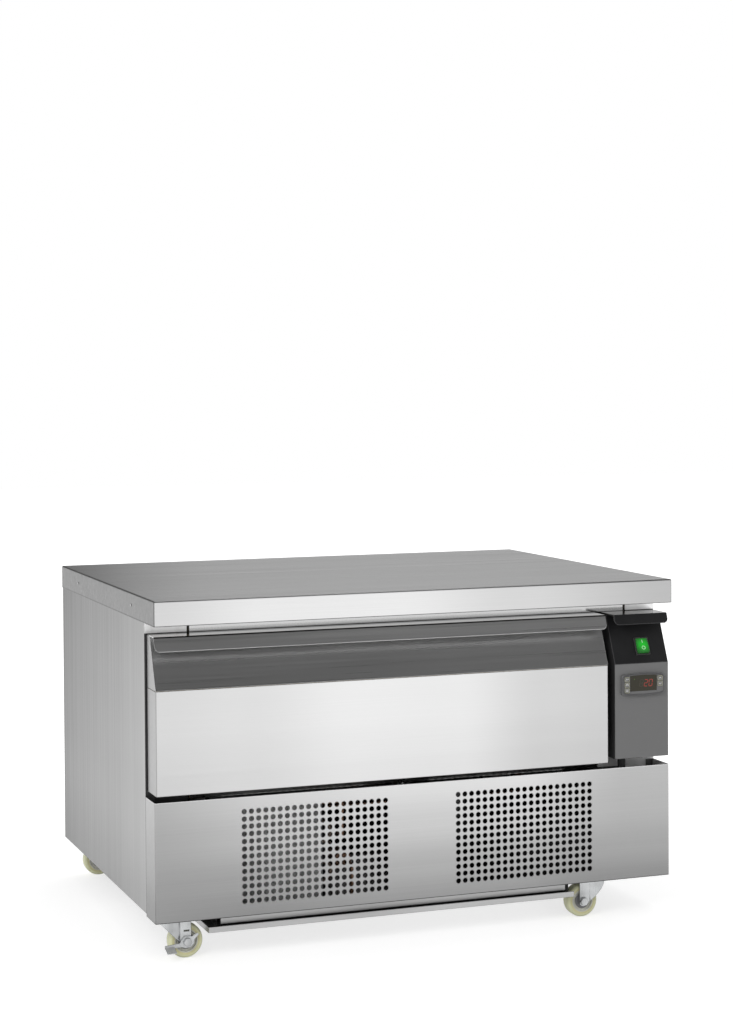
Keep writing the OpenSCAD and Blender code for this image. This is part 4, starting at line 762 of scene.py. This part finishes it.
def ribbon(path, width, closed=True):
    """A flat band of one width along a path of (right, up) points, as quads."""
    path = np.asarray(path, float)
    ahead = np.roll(path, -1, 0) - np.roll(path, 1, 0) if closed else np.gradient(path, axis=0)
    ahead /= np.linalg.norm(ahead, axis=1, keepdims=True)
    across = np.column_stack([-ahead[:, 1], ahead[:, 0]]) * width / 2
    outer, inner = path + across, path - across
    if closed:
        return np.stack([outer, np.roll(outer, -1, 0), np.roll(inner, -1, 0), inner], 1)
    return np.stack([outer[:-1], outer[1:], inner[1:], inner[:-1]], 1)


CORNER_POINTS = 8


def rounded_path(width, height, radius):
    """Rounded rectangle: a quarter circle round each corner's own centre, joined by lines."""
    t = np.linspace(0, np.pi / 2, CORNER_POINTS)
    turns = t + np.arange(4)[:, None] * np.pi / 2
    centres = np.array([[1, 1], [-1, 1], [-1, -1], [1, -1]]) * [width / 2 - radius,
                                                                height / 2 - radius]
    points = centres[:, None] + radius * np.stack([np.cos(turns), np.sin(turns)], -1)
    return points.reshape(-1, 2)


PANE_HIGH, PANE_WIDER, PANE_CORNER, PANE_LIFT = 29.2, 0.2, 1.0, 0.10


def display_pane():
    """A smoked pane over the window: two lids, each a fan of triangles from the window's middle
    to a rounded rectangle, one lift before and behind the bezel's front, and a rim between."""
    edge = rounded_path(WINDOW_W + PANE_WIDER, PANE_HIGH, PANE_CORNER)
    edge += [0.0, WINDOW_UP + (PANE_HIGH - WINDOW_H) / 2]
    middle = [[0, WINDOW_UP]]
    points = np.concatenate([on_controller(edge, PANE_LIFT), on_controller(edge, -PANE_LIFT),
                             on_controller(middle, PANE_LIFT), on_controller(middle, -PANE_LIFT)])
    n = len(edge)
    here, after = np.arange(n), np.roll(np.arange(n), -1)
    faces = [*np.column_stack([after, here, here + n, after + n]).tolist(),
             *np.column_stack([here, after, np.full(n, 2 * n)]).tolist(),
             *np.column_stack([after + n, here + n, np.full(n, 2 * n + 1)]).tolist()]
    pane = mesh_piece("display_pane", points, faces, "cabinet", WINDOW_SMOKE, "display",
                      smooth=False)
    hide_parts("display_window")


display_pane()

SEGMENTS = {"2": "abged", "0": "abcdef", "8": "abcdefg"}
SEGMENT_ENDS = {"a": (0, 1, 1, 1), "b": (1, 1, 1, 0.5), "c": (1, 0.5, 1, 0), "d": (0, 0, 1, 0),
                "e": (0, 0.5, 0, 0), "f": (0, 1, 0, 0.5), "g": (0, 0.5, 1, 0.5)}
DIGIT_SIZE, BAR, BAR_TRIM, LEAN = (6.0, 11.0), 0.85, 0.62, 0.12
DIGIT_STEP, DIGIT_FOOT, LAST_DIGIT = 8.8, WINDOW_UP - 6.2, WINDOW_W / 2 - 15.2
DOT_PLACE, DOT_RADIUS, DOT_BAND = [-17.0, 9.4], 0.42, 0.75


def digit(symbol, places):
    """Seven-segment digit, so many places left of the last: each bar runs between two corners
    and is trimmed at both ends, and x leans with the height."""
    ends = np.array([SEGMENT_ENDS[s] for s in SEGMENTS[symbol]]) * [*DIGIT_SIZE, *DIGIT_SIZE]
    a, b = ends[:, :2], ends[:, 2:]
    along = (b - a) / np.linalg.norm(b - a, axis=1, keepdims=True)
    across = np.column_stack([-along[:, 1], along[:, 0]]) * BAR / 2
    a, b = a + along * BAR * BAR_TRIM, b - along * BAR * BAR_TRIM
    quads = np.stack([a + across, b + across, b - across, a - across], 1)
    quads[..., 0] += LAST_DIGIT - places * DIGIT_STEP + LEAN * quads[..., 1]
    quads[..., 1] += DIGIT_FOOT
    return quads


def display_marks():
    """Two lit digits, an unlit one left of them, and a dot: a band round a small circle."""
    marks("display_digits", np.concatenate([digit("2", 1), digit("0", 0)]), "cabinet", DIGIT_RED,
          "display")
    marks("display_unlit_digit", digit("8", 2), "cabinet", MARK_FAINT, "display")
    t = np.linspace(0, 2 * np.pi, 16, endpoint=False)
    disc = np.column_stack([np.cos(t), np.sin(t)]) * DOT_RADIUS + DOT_PLACE
    marks("display_dot", ribbon(disc, DOT_BAND), "cabinet", DOT_GREEN, "display")


display_marks()

KEY_SIGNS = {
    "key_left_1": [[(-2.6, -1.6), (-0.9, 1.4), (0.5, -0.6), (2.6, 1.4)]],
    "key_left_2": [[(-1.9, -1.4), (-1.9, 1.2), (0.0, 2.0), (1.9, 1.2), (1.9, -1.4)],
                   [(-0.6, 0.0), (0.6, 0.0)]],
    "key_left_3": [[(-2.4, 1.2), (2.4, 1.2)], [(-2.4, -1.2), (2.4, -1.2)]],
    "key_right_1": [[(-2.2, -1.0), (0.0, 1.4), (2.2, -1.0)]],
    "key_right_2": [[(-2.2, 1.0), (0.0, -1.4), (2.2, 1.0)]],
}
SIGN_BAND, OUTLINE_BAND, OUTLINE_INSET, OUTLINE_CORNER = 1.15, 0.75, 0.8, 1.0
KEY_MARK_LIFT, KEY_MARK_THICK = 0.04, 0.08


def key_signs():
    """Each key's sign, and a pale line round its face, on bands of one width."""
    for key, strokes in KEY_SIGNS.items():
        low, high = np.array(BOX[key]) / MM
        middle = [(low[0] + high[0]) / 2 - BEZEL_X, (low[2] + high[2]) / 2 - BEZEL_Z]
        on_key = {"lift": BEZEL_Y - low[1] + KEY_MARK_LIFT, "thick": KEY_MARK_THICK}
        bands = [ribbon(np.array(s) + middle, SIGN_BAND, closed=False) for s in strokes]
        marks(key + "_sign", np.concatenate(bands), key, MARK_WHITE, "keys", **on_key)
        rim = rounded_path(high[0] - low[0] - OUTLINE_INSET, high[2] - low[2] - OUTLINE_INSET,
                           OUTLINE_CORNER) + middle
        marks(key + "_outline", ribbon(rim, OUTLINE_BAND), key, LINE_PALE, "keys", **on_key)


key_signs()

RIM_INSET, RIM_SQUARE, RIM_STEPS = 1.6, 0.18, 200
BEAD_HALF, BEAD_HIGH, BEAD_SUNK, BEAD_SIDES = 1.45, 1.15, 0.25, 16


def even_steps(path, count):
    """So many points at equal distances along a closed path."""
    steps = np.linalg.norm(np.roll(path, -1, 0) - path, axis=1)
    run = np.concatenate([[0], np.cumsum(steps)])
    even = np.linspace(0, run[-1], count, endpoint=False)
    closed = np.vstack([path, path[:1]])
    return np.column_stack([np.interp(even, run, closed[:, k]) for k in (0, 1)])


def controller_rim():
    """Raised rim: an ellipse carried along the bezel's outline, set in a little. The outline is
    x = half width cos(u)^p and z = half height sin(u)^p, lower by x^2 / 2 bow towards its ends."""
    u = np.linspace(0, 2 * np.pi, 240, endpoint=False)
    x = (BEZEL_W / 2 - RIM_INSET) * np.sign(np.cos(u)) * np.abs(np.cos(u)) ** RIM_SQUARE
    half_high = BEZEL_H / 2 - RIM_INSET - (x ** 2) / (2 * BOW)
    z = half_high * np.sign(np.sin(u)) * np.abs(np.sin(u)) ** RIM_SQUARE
    path = even_steps(np.column_stack([x, z]), RIM_STEPS)
    ahead = np.roll(path, -1, 0) - np.roll(path, 1, 0)
    ahead /= np.linalg.norm(ahead, axis=1, keepdims=True)
    out = np.column_stack([ahead[:, 1], -ahead[:, 0]])
    v = np.linspace(0, 2 * np.pi, BEAD_SIDES, endpoint=False)
    flat = path[:, None] + BEAD_HALF * np.cos(v)[None, :, None] * out[:, None]
    depth = BEZEL_Y + BEAD_SUNK - BEAD_HIGH * np.broadcast_to(np.sin(v), flat.shape[:2])
    points = np.stack([flat[..., 0] + BEZEL_X, depth, flat[..., 1] + BEZEL_Z], -1)
    mesh_piece("controller_rim", points.reshape(-1, 3) * MM,
               grid_faces(RIM_STEPS, BEAD_SIDES, True, True), "cabinet",
               moulded("rim_grey", (0.10, 0.10, 0.103), rough=0.35, skin_depth=0.05, stain=0.05),
               "bezel")


controller_rim()


# Rocker: an I and an O on its flat face, laid out in millimetres along the housing's slope,
# from the middle of the slope's upper edge down to the rocker's middle

SLOPE = np.arctan2(84.0, 37.0)
SLOPE_TOP = np.array([HOUSING_LOW[0] + 0.056, -0.305, HOUSING_HIGH[2]]) / MM
ROCKER_DOWN, ROCKER_TILT, ROCKER_AXIS, ROCKER_FACE = 62.0, np.radians(9.0), -1.5, 6.0
I_ENDS, I_BAND = [(0.0, 3.6), (0.0, 9.0)], 1.3
O_RADIUS, O_DOWN, O_BAND = 2.9, 5.6, 1.2
ROCKER_MARK_LIFT, ROCKER_MARK_THICK = 0.05, 0.10


def tilted(points, angle):
    """Turns (right, up, out) points about the axis to the right."""
    c, s = np.cos(angle), np.sin(angle)
    return points @ np.array([[1, 0, 0], [0, c, s], [0, -s, c]])


def on_rocker(points, lift):
    """Flat (right, up) points from the rocker's middle, set on its face, turned with the
    rocker's rest tilt about its axis, then with the slope."""
    out = np.full(len(points), ROCKER_FACE + lift - ROCKER_AXIS)
    local = tilted(np.column_stack([points, out]), -ROCKER_TILT)
    local += [0.0, -ROCKER_DOWN, ROCKER_AXIS]
    return (tilted(local, SLOPE) + SLOPE_TOP) * MM


def rocker_signs():
    """I: a bar in the upper half. O: a band round a circle in the lower half."""
    t = np.linspace(0, 2 * np.pi, 24, endpoint=False)
    ring = np.column_stack([O_RADIUS * np.cos(t), O_RADIUS * np.sin(t) - O_DOWN])
    for name, bands in (("on", ribbon(I_ENDS, I_BAND, closed=False)),
                        ("off", ribbon(ring, O_BAND))):
        marks("rocker_sign_" + name, bands, "switch_rocker", SIGN_GREEN, "rocker", on_rocker,
              ROCKER_MARK_LIFT, ROCKER_MARK_THICK)


rocker_signs()


# Condenser behind the left grille, in millimetres: many thin fins on one serpentine tube

COIL_LOW, COIL_HIGH = np.array(BOX["condenser_coil"]) / MM
COIL_LEFT, COIL_RIGHT, FIN_INSET = -320.0, -156.0, 2
FIN_COUNT, FIN_HALF = 104, 0.12
TUBE_ROWS, TUBE_RADIUS, RUN_POINTS = 6, 4, 8
TUBE_BEND = np.linspace(-np.pi / 2, np.pi / 2, 14)[1:-1]


def condenser_fins():
    """Plates at equal steps along x, each as deep and high as the coil."""
    x = np.linspace(COIL_LEFT + FIN_INSET, COIL_RIGHT - FIN_INSET, FIN_COUNT)
    low, high = np.tile(COIL_LOW, (FIN_COUNT, 1)), np.tile(COIL_HIGH, (FIN_COUNT, 1))
    low[:, 0], high[:, 0] = x - FIN_HALF, x + FIN_HALF
    points, faces = boxes(low * MM, high * MM)
    # Painted light: the fins are a near-white, non-metallic copy of the coil's aluminium, so they
    # show lighter through the grille
    fins = mesh_piece("condenser_fins", points, faces, "cabinet",
                      steel("fin_aluminium", 0.95, ALONG_Z, rough=0.6, haze=0.15, metal=0.0),
                      "fins", smooth=False)
    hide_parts("condenser_coil")


def condenser_tube():
    """Straight runs at six heights, joined at alternate ends by half circles."""
    step = (COIL_HIGH[2] - COIL_LOW[2]) / TUBE_ROWS
    middle = (COIL_LOW[1] + COIL_HIGH[1]) / 2
    reach = (COIL_RIGHT + FIN_INSET, COIL_LEFT - FIN_INSET)
    path = []
    for row in range(TUBE_ROWS):
        side = 1 if row % 2 else -1
        start, end = reach[::-side]
        height = COIL_LOW[2] + (row + 0.5) * step
        path.append(np.column_stack([np.linspace(start, end, RUN_POINTS),
                                     np.full(RUN_POINTS, middle), np.full(RUN_POINTS, height)]))
        if row < TUBE_ROWS - 1:
            path.append(np.column_stack([end + side * step / 2 * np.cos(TUBE_BEND),
                                         np.full(len(TUBE_BEND), middle),
                                         height + step / 2 + step / 2 * np.sin(TUBE_BEND)]))
    points, faces = tube_along(np.concatenate(path) * MM, TUBE_RADIUS * MM)
    # The tube is a darker copper than the pipes.
    mesh_piece("condenser_tube", points, faces, "cabinet",
               steel("tube_dark_copper", 0.20, ALONG_X, rough=0.5, tint=(0.95, 0.75, 0.62)), "copper")


condenser_fins()
condenser_tube()


STRIP_RISE, STRIP_INSET, STRIP_THICK, STRIP_REAR = 0.0008, 0.001, 0.003, 0.0015
SIDE_STRIP_GAP, SIDE_STRIP_END = 0.0003, 0.0065


def shade_filler_strip():
    """Painted shade: two near-black blocks as high as the base, a little raised, that fill the
    slots behind and beside the base of the cooling machine, where only shade falls."""
    low, high = BOX["unit_base"]
    foot, head, rear = low[2] + STRIP_RISE, high[2] + STRIP_RISE, high[1] - STRIP_REAR
    strips = boxes([(low[0] + STRIP_INSET, rear - STRIP_THICK, foot),
                    (high[0] + SIDE_STRIP_GAP, low[1] + STRIP_INSET, foot)],
                   [(high[0] - STRIP_INSET, rear, head),
                    (high[0] + SIDE_STRIP_END, rear, head)])
    mesh_piece("shade_filler_strip", *strips, "cabinet",
               moulded("shade_filler_black", (0.035, 0.035, 0.036), rough=0.9, size=500.0,
                       skin_depth=0.5, stain=0.1), "rubber", smooth=False)


shade_filler_strip()


# Studio: levels are shares of the background's white, and the screen's angles are in radians

WHITE = grey(1.0)
FLOOR_GREY, FLOOR_HALF, FLOOR_DROP = grey(0.55), 14.0, 0.0005
# The floor's own light is dimmer near the object: painted shade round it, also in what the metal
# mirrors.
GLOW_START, GLOW_REACH = 0.66, (0.6, 1.8)   # the floor's own light, and how far out it grows
CEILING, CEILING_UP = 0.12, 0.55
SCREEN, SCREEN_START, SCREEN_END = 0.64, (-0.40, -0.15), (0.19, 0.262)
DIFFUSE_LIGHT = 0.62


def ray_kinds(g):
    """1 for rays from the camera and 0 for others, and the same for mirrored or refracted
    rays."""
    path = g.add("ShaderNodeLightPath").outputs
    return path["Is Camera Ray"], g.math("MAXIMUM", path["Is Glossy Ray"],
                                         path["Is Transmission Ray"])


def make_floor():
    """A wide pale floor: a diffuse grey, plus a light of its own for rays that see or mirror it,
    which grows to the background's white away from the object, so that it is dimmer near the
    object: painted shade round it."""
    material = bpy.data.materials.new("floor_white")
    material.use_nodes = True
    g = Graph(material.node_tree)
    g.tree.nodes.clear()
    coords = g.add("ShaderNodeTexCoord").outputs["Object"]
    glow = g.remap(g.vector("LENGTH", coords)["Value"], *GLOW_REACH, GLOW_START, 1.0, smooth=True)
    own = g.add("ShaderNodeEmission",
                {"Color": WHITE,
                 "Strength": g.math("MULTIPLY", glow, g.math("MAXIMUM", *ray_kinds(g)))})
    lit = g.add("ShaderNodeBsdfDiffuse", {"Color": FLOOR_GREY})
    both = g.add("ShaderNodeAddShader", {0: own.outputs[0], 1: lit.outputs[0]})
    g.add("ShaderNodeOutputMaterial", {"Surface": both.outputs[0]})
    mesh = bpy.data.meshes.new("floor")
    mesh.from_pydata([(-FLOOR_HALF, -FLOOR_HALF, 0), (FLOOR_HALF, -FLOOR_HALF, 0),
                      (FLOOR_HALF, FLOOR_HALF, 0), (-FLOOR_HALF, FLOOR_HALF, 0)],
                     [], [(0, 1, 2, 3)])
    mesh.materials.append(material)
    floor = bpy.data.objects.new("floor", mesh)
    floor.location.z = -FLOOR_DROP
    bpy.context.scene.collection.objects.link(floor)


def make_world():
    """White for the camera. Mirrored is white round the horizon and below, fading to a grey
    ceiling high above, times 1 - a grey screen behind the object on its left. Other rays take
    an even light."""
    world = bpy.data.worlds.new("studio")
    bpy.context.scene.world = world
    world.use_nodes = True
    g = Graph(world.node_tree)
    g.tree.nodes.clear()
    toward = g.add("ShaderNodeSeparateXYZ",
                   {0: g.add("ShaderNodeTexCoord").outputs["Generated"]}).outputs
    angle = g.math("ARCTAN2", toward["X"], toward["Y"])
    screen = g.math("MULTIPLY", g.remap(angle, *SCREEN_END, SCREEN, 0.0, smooth=True),
                    g.remap(angle, *SCREEN_START, 0.0, 1.0, smooth=True))
    ceiling = g.math("MULTIPLY",
                     g.remap(toward["Z"], 0.0, CEILING_UP, 1.0, CEILING, smooth=True),
                     g.math("SUBTRACT", 1.0, screen))
    camera, mirrored = ray_kinds(g)
    seen = g.math("MAXIMUM", camera, g.math("MULTIPLY", mirrored, ceiling))
    others = g.math("SUBTRACT", 1.0, g.math("MAXIMUM", camera, mirrored))
    strength = g.math("ADD", seen, g.math("MULTIPLY", others, DIFFUSE_LIGHT))
    back = g.add("ShaderNodeBackground", {"Color": WHITE, "Strength": strength})
    g.add("ShaderNodeOutputWorld", {"Surface": back.outputs[0]})


def soft_lamp(name, place, aim, size, power):
    """A square lamp at a place, turned to face its aim."""
    data = bpy.data.lights.new(name, "AREA")
    data.size = size
    data.energy = power
    lamp = bpy.data.objects.new(name, data)
    back = np.array(place, float) - np.array(aim, float)
    back /= np.linalg.norm(back)
    right = np.cross([0.0, 0.0, 1.0], back)
    right /= np.linalg.norm(right)
    matrix = np.eye(4)
    matrix[:3, :3] = np.column_stack([right, np.cross(back, right), back])
    matrix[:3, 3] = place
    lamp.matrix_world = Matrix(matrix.tolist())
    bpy.context.scene.collection.objects.link(lamp)


make_floor()
make_world()
soft_lamp("key_lamp", (-2.2, -2.4, 2.2), (0, 0, 0.3), 1.6, 36)
soft_lamp("fill_lamp", (3.2, 0.4, 1.1), (0, 0, 0.3), 1.8, 16)
soft_lamp("top_lamp", (0.3, 0.6, 2.6), (0, 0, 0.4), 1.8, 14)

settings = bpy.context.scene.view_settings
settings.view_transform = "Standard"
